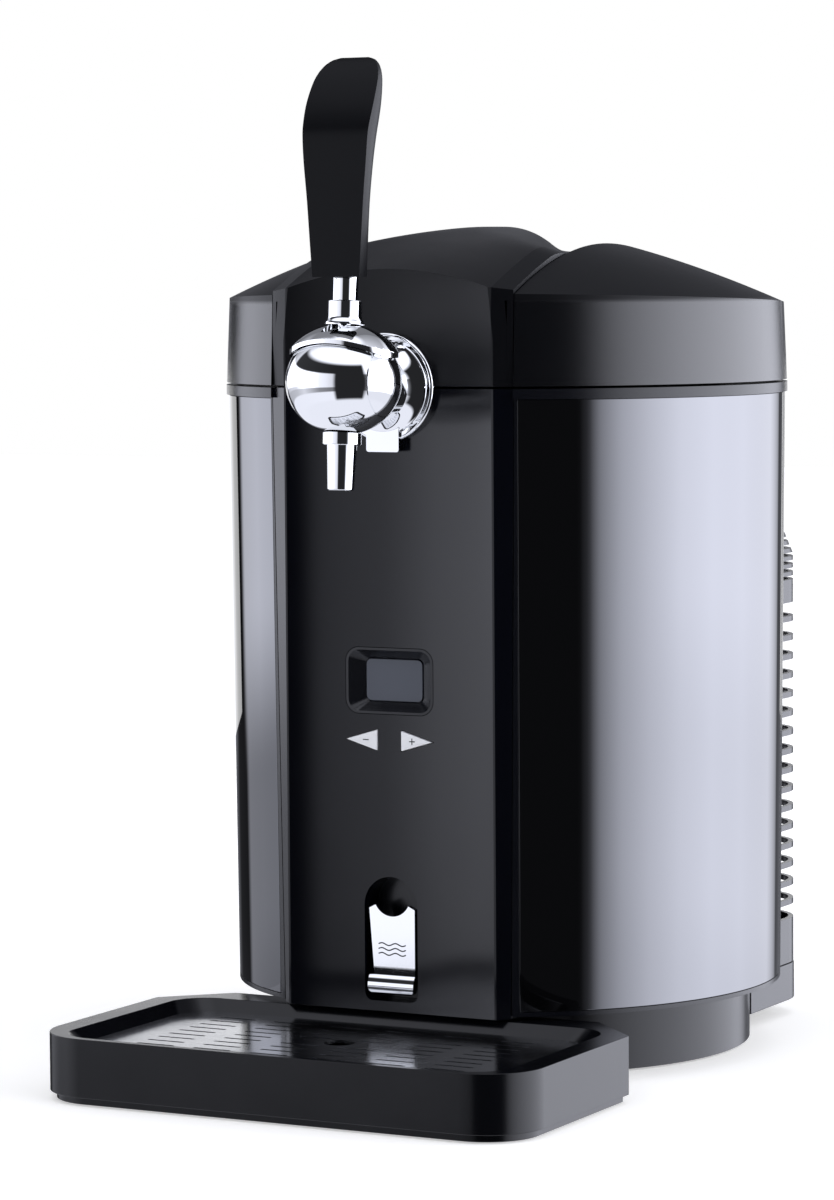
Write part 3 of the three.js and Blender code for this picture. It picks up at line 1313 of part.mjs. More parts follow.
function makeStem() {
  const outside = turned([[0, stemBase - overrun * 2], [stemFlareRadius, stemBase - overrun * 2],
    [stemFlareRadius, stemBase - overrun * half], [stemLowRadius, stemFlareTop],
    [stemLowRadius, stemStepZ], [stemHighRadius, stemStepZ], [stemHighRadius, stemTopZ],
    [0, stemTopZ]], smallSteps);
  const bonnetSpace = egg(stemBase, bonnetHalf + seatGap).translate(0, 0, ballDrop);
  const rod = drum(stemRodRadius, -leverToeTop - overrun, stemBase + overrun, smallSteps);
  const hub = rodAlongX(leverHubRadius, -leverHubHalf, leverHubHalf, smallSteps);
  const toe = block(-leverToeHalf, leverToeHalf, -leverToeHalf, leverToeRear,
    -leverToe, -leverToeTop);
  const bore = rodAlongX(pivotPinRadius + hingePinGap, -leverHubHalf - overrun,
    leverHubHalf + overrun, smallSteps);
  return cut(join(cut(outside, bonnetSpace), rod, hub, toe), bore);
}
piece('lever_stem', makeStem(), chrome, leaningFrame);

// Handle: D-shaped sections, flat in front, rounded behind and bent back at the top
const handleBottomZ = 375.8;
const handleHeight = 99.6;
const handleWidest = 34.8;
const handleThickest = 19;
const handleProud = 6.8;
const handleFrontY = -tapDistance - handleProud;
const handleBackSet = 21;
const handleFlatness = 2.8;
const handleRows = [
  { riseShare: 0, widthShare: 0.695, frontShare: 0, depthShare: 0.82 },
  { riseShare: 0.16, widthShare: 0.76, frontShare: 0, depthShare: 0.79 },
  { riseShare: 0.35, widthShare: 0.835, frontShare: 0, depthShare: 0.79 },
  { riseShare: 0.53, widthShare: 0.925, frontShare: 0, depthShare: 0.87 },
  { riseShare: 0.655, widthShare: 0.97, frontShare: 0.03, depthShare: 1 },
  { riseShare: 0.72, widthShare: 0.99, frontShare: 0.12, depthShare: 0.99 },
  { riseShare: 0.785, widthShare: 1, frontShare: 0.25, depthShare: 0.9 },
  { riseShare: 0.85, widthShare: 0.98, frontShare: 0.41, depthShare: 0.76 },
  { riseShare: 0.91, widthShare: 0.93, frontShare: 0.58, depthShare: 0.58 },
  { riseShare: 0.96, widthShare: 0.8, frontShare: 0.75, depthShare: 0.4 },
  { riseShare: 0.99, widthShare: 0.6, frontShare: 0.88, depthShare: 0.26 },
  { riseShare: 1, widthShare: 0.4, frontShare: 0.95, depthShare: 0.17 },
];
const handleArcSteps = 12;

function handleRing({ riseShare, widthShare, frontShare, depthShare }) {
  const reach = handleWidest * half * widthShare;
  const depth = handleThickest * depthShare;
  const frontY = handleFrontY + handleBackSet * frontShare;
  const points = [];
  for (let i = 0; i <= handleArcSteps; i += 1) {
    const angle = (Math.PI * i) / handleArcSteps;
    const across = Math.abs(Math.cos(angle)) ** (2 / handleFlatness) * Math.sign(Math.cos(angle));
    const along = Math.abs(Math.sin(angle)) ** (2 / handleFlatness);
    points.push([reach * across, frontY + depth * along]);
  }
  return ringAt(points, handleBottomZ + handleHeight * riseShare);
}

function makeHandle() {
  const grip = loft(handleRows.map(handleRing));
  const leaned = drum(stemHighRadius + seatGap, 0, stemTopZ + seatGap, smallSteps)
    .rotateX(-THREE.MathUtils.degToRad(tapLeanDegrees))
    .translate(0, -tapDistance, ballZ);
  return cut(grip, leaned);
}
piece('tap_handle', makeHandle(), grainBlack);

// Plunger pushed back by the lever's toe to open the valve
const plungerRadius = 5;
const plungerInset = 28.1;
const plungerEnd = panelFaceDistance - plungerInset;
const plungerSeatRadius = 3;

function makePlunger() {
  const start = -tapDistance + leverToeRear + coverGap;
  return join(rodAlongY(plungerSeatRadius, start, -plungerEnd),
    rodAlongY(plungerRadius, start + leverToe, -plungerEnd));
}
piece('valve_plunger', moved(makePlunger(), 0, 0, seamZ), polishedSteel);

// Drip tray: a shallow tray on a recessed plinth, with a polished slotted plate
const plinthInset = 3;
const plinthLift = 0.5;
const trayBottomZ = 4;
const trayFloorZ = 7;
const rimWidth = 17;
const rimFrontWidth = 8.6;
const plateZ = 24.2;
const plateThickness = 1.5;
const plateHalf = 107;
const plateFrontInset = 9.7;
const plateDepth = 110;
const plateFront = trayFront - plateFrontInset;
const plateBack = plateFront - plateDepth;
const plateCorner = 18;
const ledgeReach = 5;
const slotLength = 19.5;
const slotWidth = 1.9;
const slotPitchX = 29.8;
const slotPitchY = 9.45;
const slotColumns = 6;
const slotRows = 9;
const slotFirstInset = 13.6;
const slotFirstRow = plateBack + slotFirstInset;
const plateHoleRadius = 7.3;
const plateHoleProud = 9.2;
const plateHoleDistance = tapDistance + plateHoleProud;
const trayBackGap = 0.6;
const bowShare = 0.75;
const trayBackY = footCentreY - footRadius - trayBackGap;
const trayChamfer = trayHalf - trayBackHalf;

function trayOutline(inset) {
  const reach = trayHalf - inset;
  const front = -trayFront + inset;
  const corner = trayCornerRadius - inset;
  return roundedOutline([[-trayBackHalf, trayBackY - inset, 0],
    [-reach, trayBackY - trayChamfer, 0], [-reach, front, corner],
    [-reach * half, front - trayBow * bowShare, 0], [0, front - trayBow, 0],
    [reach * half, front - trayBow * bowShare, 0], [reach, front, corner],
    [reach, trayBackY - trayChamfer, 0], [trayBackHalf, trayBackY - inset, 0]], cornerSteps);
}

const plateOutline = (margin) => roundedRectangle(plateHalf + margin, -plateFront - margin,
  -plateBack + margin, plateCorner);

function makeTray() {
  const outside = join(upright(trayOutline(0), trayBottomZ, trayTopZ),
    upright(trayOutline(plinthInset), plinthLift, trayBottomZ + overrun));
  const topZ = trayTopZ + overrun;
  const slopeTop = plateOutline((rimFrontWidth + rimWidth) * half * half)
    .map(([x, y]) => [x, Math.max(y, -trayFront + trayWall * half), topZ]);
  const slope = loft([ringAt(plateOutline(slideGap), plateZ), slopeTop]);
  const well = upright(plateOutline(-ledgeReach), trayFloorZ, plateZ + overrun);
  return cut(outside, slope, well);
}
piece('drip_tray', makeTray(), satinBlack);

function makePlate() {
  const plate = upright(plateOutline(0), plateZ, plateZ + plateThickness);
  const low = plateZ - overrun;
  const high = plateZ + plateThickness + overrun;
  const firstX = -((slotColumns - 1) * slotPitchX) * half;
  const slots = [];
  for (let column = 0; column < slotColumns; column += 1) {
    for (let row = 0; row < slotRows; row += 1) {
      const x = firstX + column * slotPitchX;
      const y = -slotFirstRow - row * slotPitchY;
      const clear = Math.hypot(Math.max(Math.abs(x) - slotLength * half, 0),
        y + plateHoleDistance) > plateHoleRadius + slotWidth;
      if (clear) {
        slots.push(block(x - slotLength * half, x + slotLength * half,
          y - slotWidth * half, y + slotWidth * half, low, high));
      }
    }
  }
  const hole = moved(drum(plateHoleRadius, low, high, smallSteps), 0, -plateHoleDistance, 0);
  return cut(plate, ...slots, hole);
}
piece('drip_plate', makePlate(), polishedSteel);

// The origin goes to the middle of the footprint
const frontmost = -trayFront - trayBow;
const rearmost = housingBack + inletProud;
dispenser.position.y = -(frontmost + rearmost) * half;

export default dispenser;
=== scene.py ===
"""Looks of the mini keg beer dispenser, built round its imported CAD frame.

Lengths are millimetres in the drum's own frame until a piece is placed: the drum's axis is
x = 0, y = 0, the front is -Y and the floor is z = 0. Workshop.place turns them into metres of
the row frame. Cutters run past what they cut by OVERRUN, and points nearer than NEAR are one.
"""

from __future__ import annotations

import json
import logging
import math
from dataclasses import dataclass
from enum import Enum
from typing import Callable, Sequence

import bmesh
import bpy
from mathutils import Matrix, Vector

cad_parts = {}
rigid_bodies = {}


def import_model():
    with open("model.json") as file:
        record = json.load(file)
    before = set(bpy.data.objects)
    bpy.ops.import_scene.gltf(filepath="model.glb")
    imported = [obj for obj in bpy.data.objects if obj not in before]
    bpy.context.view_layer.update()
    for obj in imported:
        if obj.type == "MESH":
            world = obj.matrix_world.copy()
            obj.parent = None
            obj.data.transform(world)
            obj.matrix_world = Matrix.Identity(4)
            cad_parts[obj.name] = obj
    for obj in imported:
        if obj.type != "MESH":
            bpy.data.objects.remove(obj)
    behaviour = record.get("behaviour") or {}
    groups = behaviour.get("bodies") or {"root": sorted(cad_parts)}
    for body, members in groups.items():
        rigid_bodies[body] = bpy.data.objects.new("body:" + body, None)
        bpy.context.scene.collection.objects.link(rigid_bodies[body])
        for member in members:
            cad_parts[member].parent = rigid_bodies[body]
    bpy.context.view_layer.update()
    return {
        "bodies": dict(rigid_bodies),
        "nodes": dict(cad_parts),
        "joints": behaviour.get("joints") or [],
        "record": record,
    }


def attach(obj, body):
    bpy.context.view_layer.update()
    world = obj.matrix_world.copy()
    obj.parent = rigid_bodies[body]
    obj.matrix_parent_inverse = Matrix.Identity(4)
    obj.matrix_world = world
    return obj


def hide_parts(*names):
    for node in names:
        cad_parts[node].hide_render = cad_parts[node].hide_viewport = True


log = logging.getLogger("dispenser")

Point = Sequence[float]
Pair = tuple[float, float]
Triple = tuple[float, float, float]
Socket = bpy.types.NodeSocket
Outline = list[tuple[float, float]]
Height = Callable[[float, float], float]

MM = 0.001
ROW_SHIFT = 49.35
OVERRUN = 1.0
NEAR = 0.001


class Axis(Enum):
    """The direction that a turned or pushed-out solid follows."""

    X = 0
    Y = 1
    Z = 2


class Merge(Enum):
    """How one solid meets another."""

    CUT = "DIFFERENCE"
    JOIN = "UNION"
    COMMON = "INTERSECT"


def spread(start: float, end: float, count: int) -> list[float]:
    """Evenly spaced values.

    Args:
        start: the first value.
        end: the last value.
        count: the number of steps between them.

    Returns:
        count + 1 values, both ends included.
    """
    return [start + (end - start) * i / count for i in range(count + 1)]


def level(z: float) -> Height:
    """The flat surface at a height."""
    return lambda x, y: z


def arc(cx: float, cy: float, radius: float, start: float, end: float, steps: int) -> Outline:
    """Points of an arc in a plane.

    Args:
        cx: the centre's first coordinate.
        cy: the centre's second coordinate.
        radius: the arc's radius.
        start: the first angle, in radians.
        end: the last angle, in radians.
        steps: the number of chords.

    Returns:
        The points, both ends included.
    """
    return [(cx + radius * math.cos(a), cy + radius * math.sin(a)) for a in spread(start, end, steps)]


def rounded(corners: Sequence[tuple[float, float, float]], steps: int = 10) -> Outline:
    """An outline whose corners are rounded.

    Args:
        corners: the corners as (x, y, radius).
        steps: the chords of each rounded corner.

    Returns:
        The outline's points.
    """
    points: Outline = []
    count = len(corners)
    for i, (x, y, radius) in enumerate(corners):
        if not radius:
            points.append((x, y))
            continue
        here = Vector((x, y))
        back = (Vector(corners[i - 1][:2]) - here).normalized()
        ahead = (Vector(corners[(i + 1) % count][:2]) - here).normalized()
        half = math.acos(max(-1.0, min(1.0, back.dot(ahead)))) / 2
        reach = radius / math.tan(half)
        centre = here + (back + ahead).normalized() * (radius / math.sin(half))
        a = here + back * reach - centre
        b = here + ahead * reach - centre
        start = math.atan2(a.y, a.x)
        sweep = (math.atan2(b.y, b.x) - start + math.pi) % (2 * math.pi) - math.pi
        points += arc(centre.x, centre.y, radius, start, start + sweep, steps)
    return points


def rectangle(half_width: float, low: float, high: float, radius: float, steps: int = 10) -> Outline:
    """A rectangle about the middle line, with rounded corners.

    Args:
        half_width: half of its width.
        low: its lower edge.
        high: its upper edge.
        radius: the corners' radius.
        steps: the chords of each corner.

    Returns:
        The outline's points.
    """
    return rounded([(-half_width, low, radius), (half_width, low, radius),
                    (half_width, high, radius), (-half_width, high, radius)], steps)


def evaluated(item: bpy.types.Object) -> bpy.types.Mesh:
    """The object's mesh with its modifiers applied.

    Args:
        item: the object.

    Returns:
        A new mesh.
    """
    graph = bpy.context.evaluated_depsgraph_get()
    graph.update()
    return bpy.data.meshes.new_from_object(item.evaluated_get(graph))


def applied(mesh: bpy.types.Mesh, kind: str, **settings: object) -> bpy.types.Mesh:
    """A mesh after one modifier.

    Args:
        mesh: the mesh.
        kind: the modifier's type name.
        settings: attributes to set on it.

    Returns:
        A new mesh.
    """
    holder = bpy.data.objects.new("holder", mesh)
    bpy.context.scene.collection.objects.link(holder)
    step = holder.modifiers.new("step", kind)
    for key, value in settings.items():
        setattr(step, key, value)
    result = evaluated(holder)
    bpy.data.objects.remove(holder)
    return result


class Solid:
    """A closed body in millimetres that can be cut, joined, rounded and placed."""

    def __init__(self, mesh: bpy.types.Mesh) -> None:
        """Keeps the body's mesh, which is in millimetres."""
        self.mesh = mesh

    @classmethod
    def of(cls, points: Sequence[Point], faces: Sequence[Sequence[int]]) -> "Solid":
        """A solid of points and faces.

        Args:
            points: the corners.
            faces: the corner numbers of each face.

        Returns:
            The solid, with doubles merged and its faces pointing out.
        """
        mesh = bpy.data.meshes.new("solid")
        mesh.from_pydata([tuple(p) for p in points], [], faces)
        cls.tidy(mesh)
        return cls(mesh)

    @staticmethod
    def tidy(mesh: bpy.types.Mesh, merge: float = 1e-4) -> None:
        """Merges doubles and turns the faces out.

        Args:
            mesh: the mesh to mend.
            merge: the distance under which points are one.
        """
        work = bmesh.new()
        work.from_mesh(mesh)
        bmesh.ops.remove_doubles(work, verts=work.verts, dist=merge)
        bmesh.ops.recalc_face_normals(work, faces=work.faces)
        work.to_mesh(mesh)
        work.free()

    @classmethod
    def copy_of(cls, node: bpy.types.Object, flat: float = 0.6) -> "Solid":
        """A solid copied from a CAD node, with its flat triangles joined into faces.

        Args:
            node: the CAD node.
            flat: triangles that meet at less than this many degrees are joined.

        Returns:
            The copy, in millimetres of the drum's frame.
        """
        mesh = node.data.copy()
        mesh.transform(Matrix.Translation((0, -ROW_SHIFT, 0)) @ Matrix.Scale(1 / MM, 4))
        mesh.materials.clear()
        work = bmesh.new()
        work.from_mesh(mesh)
        bmesh.ops.remove_doubles(work, verts=work.verts, dist=NEAR)
        bmesh.ops.dissolve_limit(work, angle_limit=math.radians(flat), verts=work.verts,
                                 edges=work.edges, use_dissolve_boundaries=False)
        work.to_mesh(mesh)
        work.free()
        return cls(mesh)

    @classmethod
    def loft(cls, rings: Sequence[Sequence[Point]]) -> "Solid":
        """A solid through a stack of rings.

        Args:
            rings: rings of points, all with the same number of points.

        Returns:
            The solid, closed by a face at both ends.
        """
        count = len(rings[0])
        points = [p for ring in rings for p in ring]
        faces: list[list[int]] = []
        for r in range(len(rings) - 1):
            for i in range(count):
                j = (i + 1) % count
                a, b = r * count, (r + 1) * count
                faces.append([a + i, a + j, b + j, b + i])
        last = (len(rings) - 1) * count
        faces.append(list(range(count))[::-1])
        faces.append([last + i for i in range(count)])
        return cls.of(points, faces)

    @classmethod
    def upright(cls, outline: Outline, low: float, high: float) -> "Solid":
        """A prism of a plan outline between two heights."""
        return cls.loft([[(x, y, z) for x, y in outline] for z in (low, high)])

    @classmethod
    def forward(cls, outline: Outline, front: float, back: float) -> "Solid":
        """A prism of an outline in x and z, from y = front to y = back."""
        return cls.loft([[(x, y, z) for x, z in outline] for y in (front, back)])

    @classmethod
    def sideways(cls, outline: Outline, left: float, right: float) -> "Solid":
        """A prism of an outline in y and z, from x = left to x = right."""
        return cls.loft([[(x, y, z) for y, z in outline] for x in (left, right)])

    @classmethod
    def box(cls, low: Point, high: Point) -> "Solid":
        """A box between its lowest and highest corner."""
        corners = [(low[0], low[1]), (high[0], low[1]), (high[0], high[1]), (low[0], high[1])]
        return cls.upright(corners, low[2], high[2])

    @classmethod
    def turned(cls, profile: Outline, steps: int = 128, axis: Axis = Axis.Z) -> "Solid":
        """A solid turned about an axis.

        Args:
            profile: points as (radius, distance along the axis); it ends on the axis or closes.
            steps: the number of chords round.
            axis: the axis.

        Returns:
            The solid.
        """
        closed = profile[0] == profile[-1]
        rows = profile[:-1] if closed else profile
        points: list[tuple[float, float, float]] = []
        for angle in spread(0, 2 * math.pi, steps)[:-1]:
            c, s = math.cos(angle), math.sin(angle)
            for radius, along in rows:
                points.append({Axis.Z: (radius * c, radius * s, along),
                               Axis.Y: (radius * s, along, radius * c),
                               Axis.X: (along, radius * c, radius * s)}[axis])
        count = len(rows)
        faces = []
        for i in range(steps):
            a, b = i * count, (i + 1) % steps * count
            for j in range(count if closed else count - 1):
                k = (j + 1) % count
                face = [a + j, b + j, b + k, a + k]
                if rows[j][0] == 0:
                    face = [a + j, b + k, a + k]
                elif rows[k][0] == 0:
                    face = [a + j, b + j, a + k]
                faces.append(face)
        return cls.of(points, faces)

    @classmethod
    def rod(cls, radius: float, start: float, end: float, axis: Axis = Axis.Z, steps: int = 64) -> "Solid":
        """A round rod about an axis."""
        return cls.turned([(0, start), (radius, start), (radius, end), (0, end)], steps, axis)

    @classmethod
    def between(cls, xs: Sequence[float], ys: Sequence[float], low: Height, high: Height) -> "Solid":
        """A solid between two heights over a grid.

        Args:
            xs: the grid's x values.
            ys: the grid's y values.
            low: the lower height at (x, y).
            high: the upper height at (x, y).

        Returns:
            The solid.
        """
        rows, layer = len(ys), len(xs) * len(ys)
        points = [(x, y, f(x, y)) for f in (low, high) for x in xs for y in ys]
        faces = []
        for i in range(len(xs) - 1):
            for j in range(rows - 1):
                a = i * rows + j
                faces.append([a, a + 1, a + rows + 1, a + rows])
                faces.append([layer + a, layer + a + rows, layer + a + rows + 1, layer + a + 1])
        rim = [i * rows for i in range(len(xs))]
        rim += [(len(xs) - 1) * rows + j for j in range(1, rows)]
        rim += [i * rows + rows - 1 for i in range(len(xs) - 2, -1, -1)]
        rim += [j for j in range(rows - 2, 0, -1)]
        for a, b in zip(rim, rim[1:] + rim[:1]):
            faces.append([a, b, layer + b, layer + a])
        return cls.of(points, faces)

    def moved(self, x: float = 0, y: float = 0, z: float = 0) -> "Solid":
        """A copy that is moved."""
        return self.turned_by(Matrix.Translation((x, y, z)))

    def turned_by(self, matrix: Matrix) -> "Solid":
        """A copy under a matrix, facing out even when the matrix mirrors.

        Args:
            matrix: the matrix.

        Returns:
            The copy.
        """
        mesh = self.mesh.copy()
        mesh.transform(matrix)
        if matrix.determinant() < 0:
            mesh.flip_normals()
        return Solid(mesh)

    def mirrored(self) -> "Solid":
        """A copy on the other side of the middle."""
        return self.turned_by(Matrix.Scale(-1, 4, (1, 0, 0)))

    def _with(self, how: Merge, others: Sequence["Solid"]) -> "Solid":
        """This solid after boolean steps with the others.

        Args:
            how: the kind of step.
            others: the other solids, in order.

        Returns:
            A new solid.
        """
        base = bpy.data.objects.new("work", self.mesh)
        made = [base]
        bpy.context.scene.collection.objects.link(base)
        for other in others:
            tool = bpy.data.objects.new("tool", other.mesh)
            bpy.context.scene.collection.objects.link(tool)
            made.append(tool)
            step = base.modifiers.new("step", "BOOLEAN")
            step.operation = how.value
            step.solver = "MANIFOLD"
            step.object = tool
        result = evaluated(base)
        for item in made:
            bpy.data.objects.remove(item)
        if not result.polygons:
            raise ValueError("a boolean step left nothing")
        return Solid(result)

    def cut(self, *others: "Solid") -> "Solid":
        """This solid without the others."""
        return self._with(Merge.CUT, others)

    def join(self, *others: "Solid") -> "Solid":
        """This solid with the others."""
        return self._with(Merge.JOIN, others)

    def common(self, *others: "Solid") -> "Solid":
        """What this solid shares with the others."""
        return self._with(Merge.COMMON, others)

    def softened(self, width: float, segments: int = 2, degrees: float = 32) -> "Solid":
        """A copy whose sharp edges are rounded.

        Args:
            width: the rounding's width, in millimetres.
            segments: the facets of the rounding.
            degrees: edges sharper than this are rounded.

        Returns:
            The rounded copy.
        """
        return Solid(applied(self.mesh, "BEVEL", width=width, segments=segments,
                             limit_method="ANGLE", angle_limit=math.radians(degrees),
                             use_clamp_overlap=True))


class Wiring:
    """Adds nodes to a node tree and links them."""

    def __init__(self, tree: bpy.types.NodeTree) -> None:
        """Keeps the tree."""
        self.tree = tree

    def node(self, kind: str, settings: dict[str, object] | None = None,
             **inputs: object) -> bpy.types.Node:
        """Adds a node.

        Args:
            kind: the node's type name.
            settings: attributes to set on it.
            inputs: values, sockets or nodes for its inputs; a name's underscores stand for
                spaces, and one underscore before a number gives the input's place.

        Returns:
            The node.
        """
        made = self.tree.nodes.new(kind)
        for key, value in (settings or {}).items():
            setattr(made, key, value)
        self.feed(made, **inputs)
        return made

    def feed(self, made: bpy.types.Node, **inputs: object) -> None:
        """Sets a node's inputs.

        Args:
            made: the node.
            inputs: values, sockets or nodes, named as for a new node.
        """
        for key, value in inputs.items():
            where = made.inputs[int(key[1:]) if key[0] == "_" else key.replace("_", " ")]
            if isinstance(value, bpy.types.Node):
                value = value.outputs[0]
            if isinstance(value, Socket):
                self.tree.links.new(value, where)
            else:
                where.default_value = value

    def math(self, operation: str, a: object, b: object = 0.0) -> Socket:
        """A math node's result for two values or sockets."""
        return self.node("ShaderNodeMath", {"operation": operation}, _0=a, _1=b).outputs[0]


@dataclass(frozen=True)
class Finish:
    """A surface finish with its grain, sheen and small unevenness.

    Lengths are millimetres. Brushed gives the direction of fine lines, if there are any, and dish
    how far a broad panel's sides stand forward of its middle, at dish_reach from the middle; its
    slope ends at dish_end. Under the height satin_below the surface takes the satin values.
    """

    name: str
    slot: str
    color: tuple[float, float, float]
    roughness: float
    metallic: float = 0.0
    grain: float = 0.0
    grain_size: float = 0.5
    unevenness: float = 0.05
    patch_size: float = 40.0
    color_change: float = 0.1
    coat: float = 0.0
    coat_roughness: float = 0.05
    specular: float = 0.5
    brushed: Axis | None = None
    brush_stretch: float = 0.012
    waviness: float = 0.0
    swell_share: float = 1.5
    dish: float = 0.0
    dish_reach: float = 55.0
    dish_end: float = 54.0
    satin_below: float = 0.0
    satin_specular: float = 0.5
    satin_roughness: float = 0.3
    satin_edge: float = 1.0
    pattern_low: float = 0.1
    pattern_high: float = 0.4

    def material(self) -> bpy.types.Material:
        """The material of this finish, made once.

        Returns:
            The Blender material.
        """
        found = bpy.data.materials.get(self.name)
        if found:
            return found
        made = bpy.data.materials.new(self.name)
        made.use_nodes = True
        made.diffuse_color = (*self.color, 1)
        shader = made.node_tree.nodes["Principled BSDF"]
        work = Wiring(made.node_tree)
        place = work.node("ShaderNodeTexCoord").outputs["Object"]
        stretch = [1.0, 1.0, 1.0]
        if self.brushed is not None:
            stretch[self.brushed.value] = self.brush_stretch
        lines = work.node("ShaderNodeMapping", Vector=place, Scale=stretch)
        patches = self._noise(work, place, self.patch_size, 3)
        fine = self._noise(work, lines, self.grain_size, 2)
        darker = [c * (1 - self.color_change) for c in self.color]
        lighter = [min(1, c * (1 + self.color_change)) for c in self.color]
        color = work.node("ShaderNodeMix", {"data_type": "RGBA"}, Factor=patches,
                          A=(*darker, 1), B=(*lighter, 1))
        rough = work.node("ShaderNodeMapRange", Value=work.math("MULTIPLY", patches, fine),
                          From_Min=self.pattern_low, From_Max=self.pattern_high,
                          To_Min=max(0, self.roughness - self.unevenness),
                          To_Max=self.roughness + self.unevenness).outputs["Result"]
        work.feed(shader, Metallic=self.metallic, Coat_Weight=self.coat,
                  Coat_Roughness=self.coat_roughness, Specular_IOR_Level=self.specular,
                  Base_Color=color.outputs["Result"], Roughness=rough)
        if self.satin_below:
            self._satin(work, shader, place, rough)
        self._relief(work, shader, place, fine)
        return made

    def _relief(self, work: Wiring, shader: bpy.types.Node, place: Socket, fine: Socket) -> None:
        """Gives the shader the finish's grain, waviness and dish as one normal.

        Args:
            work: adds the nodes.
            shader: the node that takes the normal.
            place: the object coordinates.
            fine: the fine pattern of the grain.
        """
        layers = []
        if self.grain:
            layers.append((fine, self.grain * MM))
        if self.waviness:
            swell = self._noise(work, place, self.patch_size * self.swell_share, 1)
            layers.append((swell, self.waviness * MM))
        if self.dish:
            across = work.node("ShaderNodeSeparateXYZ", _0=place).outputs["X"]
            within = work.math("MINIMUM", work.math("MULTIPLY", across, across), (self.dish_end * MM) ** 2)
            layers.append((within, self.dish * MM / (self.dish_reach * MM) ** 2))
        normal = None
        for height, distance in layers:
            bump = work.node("ShaderNodeBump", Strength=1.0, Distance=distance, Height=height)
            if normal:
                work.feed(bump, Normal=normal)
            normal = bump.outputs["Normal"]
        if normal:
            work.feed(shader, Normal=normal)

    def _satin(self, work: Wiring, shader: bpy.types.Node, place: Socket, rough: Socket) -> None:
        """Makes the surface smoother and shinier under the height that the finish gives.

        Args:
            work: adds the nodes.
            shader: the node that takes the values.
            place: the object coordinates.
            rough: the roughness over that height.
        """
        up = work.node("ShaderNodeSeparateXYZ", _0=place).outputs["Z"]
        for name, low, high in (("Specular_IOR_Level", self.satin_specular, self.specular),
                                ("Roughness", self.satin_roughness, rough)):
            step = work.node("ShaderNodeMapRange", Value=up, To_Min=low, To_Max=high,
                             From_Min=(self.satin_below - self.satin_edge) * MM,
                             From_Max=(self.satin_below + self.satin_edge) * MM)
            work.feed(shader, **{name: step.outputs["Result"]})

    @staticmethod
    def _noise(work: Wiring, place: object, size: float, detail: float) -> Socket:
        """A noise pattern whose spots have a size in millimetres, with some finer layers."""
        return work.node("ShaderNodeTexNoise", Vector=place, Scale=1 / (size * MM),
                         Detail=detail).outputs["Fac"]


LID_EDGE = 364.0
SATIN_BLACK = Finish("satin_black_plastic", "satin_black", (0.003, 0.0034, 0.0055), 0.22,
                     grain=0.008, grain_size=0.35, unevenness=0.03)
FASCIA_BLACK = Finish("fascia_black_plastic", "satin_black", (0.001, 0.0013, 0.003), 0.15,
                      grain=0.006, grain_size=0.35, unevenness=0.02, specular=0.37, dish=9.5)
TRAY_BLACK = Finish("tray_black_plastic", "satin_black", (0.0018, 0.002, 0.003), 0.2,
                    grain=0.008, grain_size=0.4, unevenness=0.04, specular=0.36)
GRAIN_BLACK = Finish("grained_black_plastic", "grain_black", (0.0022, 0.0024, 0.0034), 0.38,
                     grain=0.04, grain_size=0.42, unevenness=0.04, specular=0.22,
                     satin_below=LID_EDGE, satin_specular=0.75, satin_roughness=0.2)
STRIP_BLACK = Finish("grained_strip_plastic", "grain_black", (0.0024, 0.0026, 0.0038), 0.32,
                     grain=0.025, grain_size=0.42, unevenness=0.04, specular=0.24, dish=9.0)
HANDLE_BLACK = Finish("handle_black_plastic", "grain_black", (0.0022, 0.0024, 0.0034), 0.34,
                      grain=0.015, grain_size=0.4, unevenness=0.03, specular=0.12)
GLOSS_BLACK = Finish("gloss_black_sheet", "gloss_black", (0.17, 0.172, 0.18), 0.03, metallic=1.0,
                     unevenness=0.01, color_change=0.02, waviness=0.015, patch_size=90)
SOFT_BLACK = Finish("soft_black_plastic", "soft_black", (0.012, 0.012, 0.012), 0.55, grain=0.03)
RUBBER = Finish("black_rubber", "rubber_black", (0.012, 0.012, 0.012), 0.75, grain=0.05, grain_size=0.8)
KEY_WHITE = Finish("key_silver_plastic", "silver_plastic", (0.82, 0.83, 0.84), 0.3,
                   grain=0.006, unevenness=0.03)
PRINT_DARK = Finish("dark_print", "soft_black", (0.03, 0.03, 0.035), 0.5)
DISPLAY = Finish("display_glass", "display_glass", (0.022, 0.025, 0.032), 0.12, coat=1.0,
                 coat_roughness=0.02, unevenness=0.02, patch_size=12)
CHROME = Finish("polished_chrome", "chrome", (0.9, 0.91, 0.92), 0.025, metallic=1.0,
                unevenness=0.015, color_change=0.01, waviness=0.01, patch_size=14)
STEEL = Finish("polished_steel_sheet", "polished_steel", (0.62, 0.63, 0.65), 0.16, metallic=1.0,
               grain=0.004, grain_size=0.3, unevenness=0.05, brushed=Axis.X)
ALUMINIUM = Finish("drawn_aluminium", "aluminium", (0.62, 0.63, 0.64), 0.34, metallic=1.0,
                   grain=0.01, grain_size=0.6, brushed=Axis.Z)
BRASS = Finish("turned_brass", "brass", (0.62, 0.46, 0.2), 0.28, metallic=1.0, grain=0.006, grain_size=0.3)
FOAM = Finish("rigid_foam", "white_foam", (0.78, 0.75, 0.66), 0.9, grain=0.5, grain_size=1.6)
CERAMIC = Finish("white_ceramic", "white_ceramic", (0.75, 0.74, 0.7), 0.5, grain=0.02)
BOARD = Finish("green_board", "board_green", (0.02, 0.13, 0.055), 0.4, grain=0.02, grain_size=1.0)


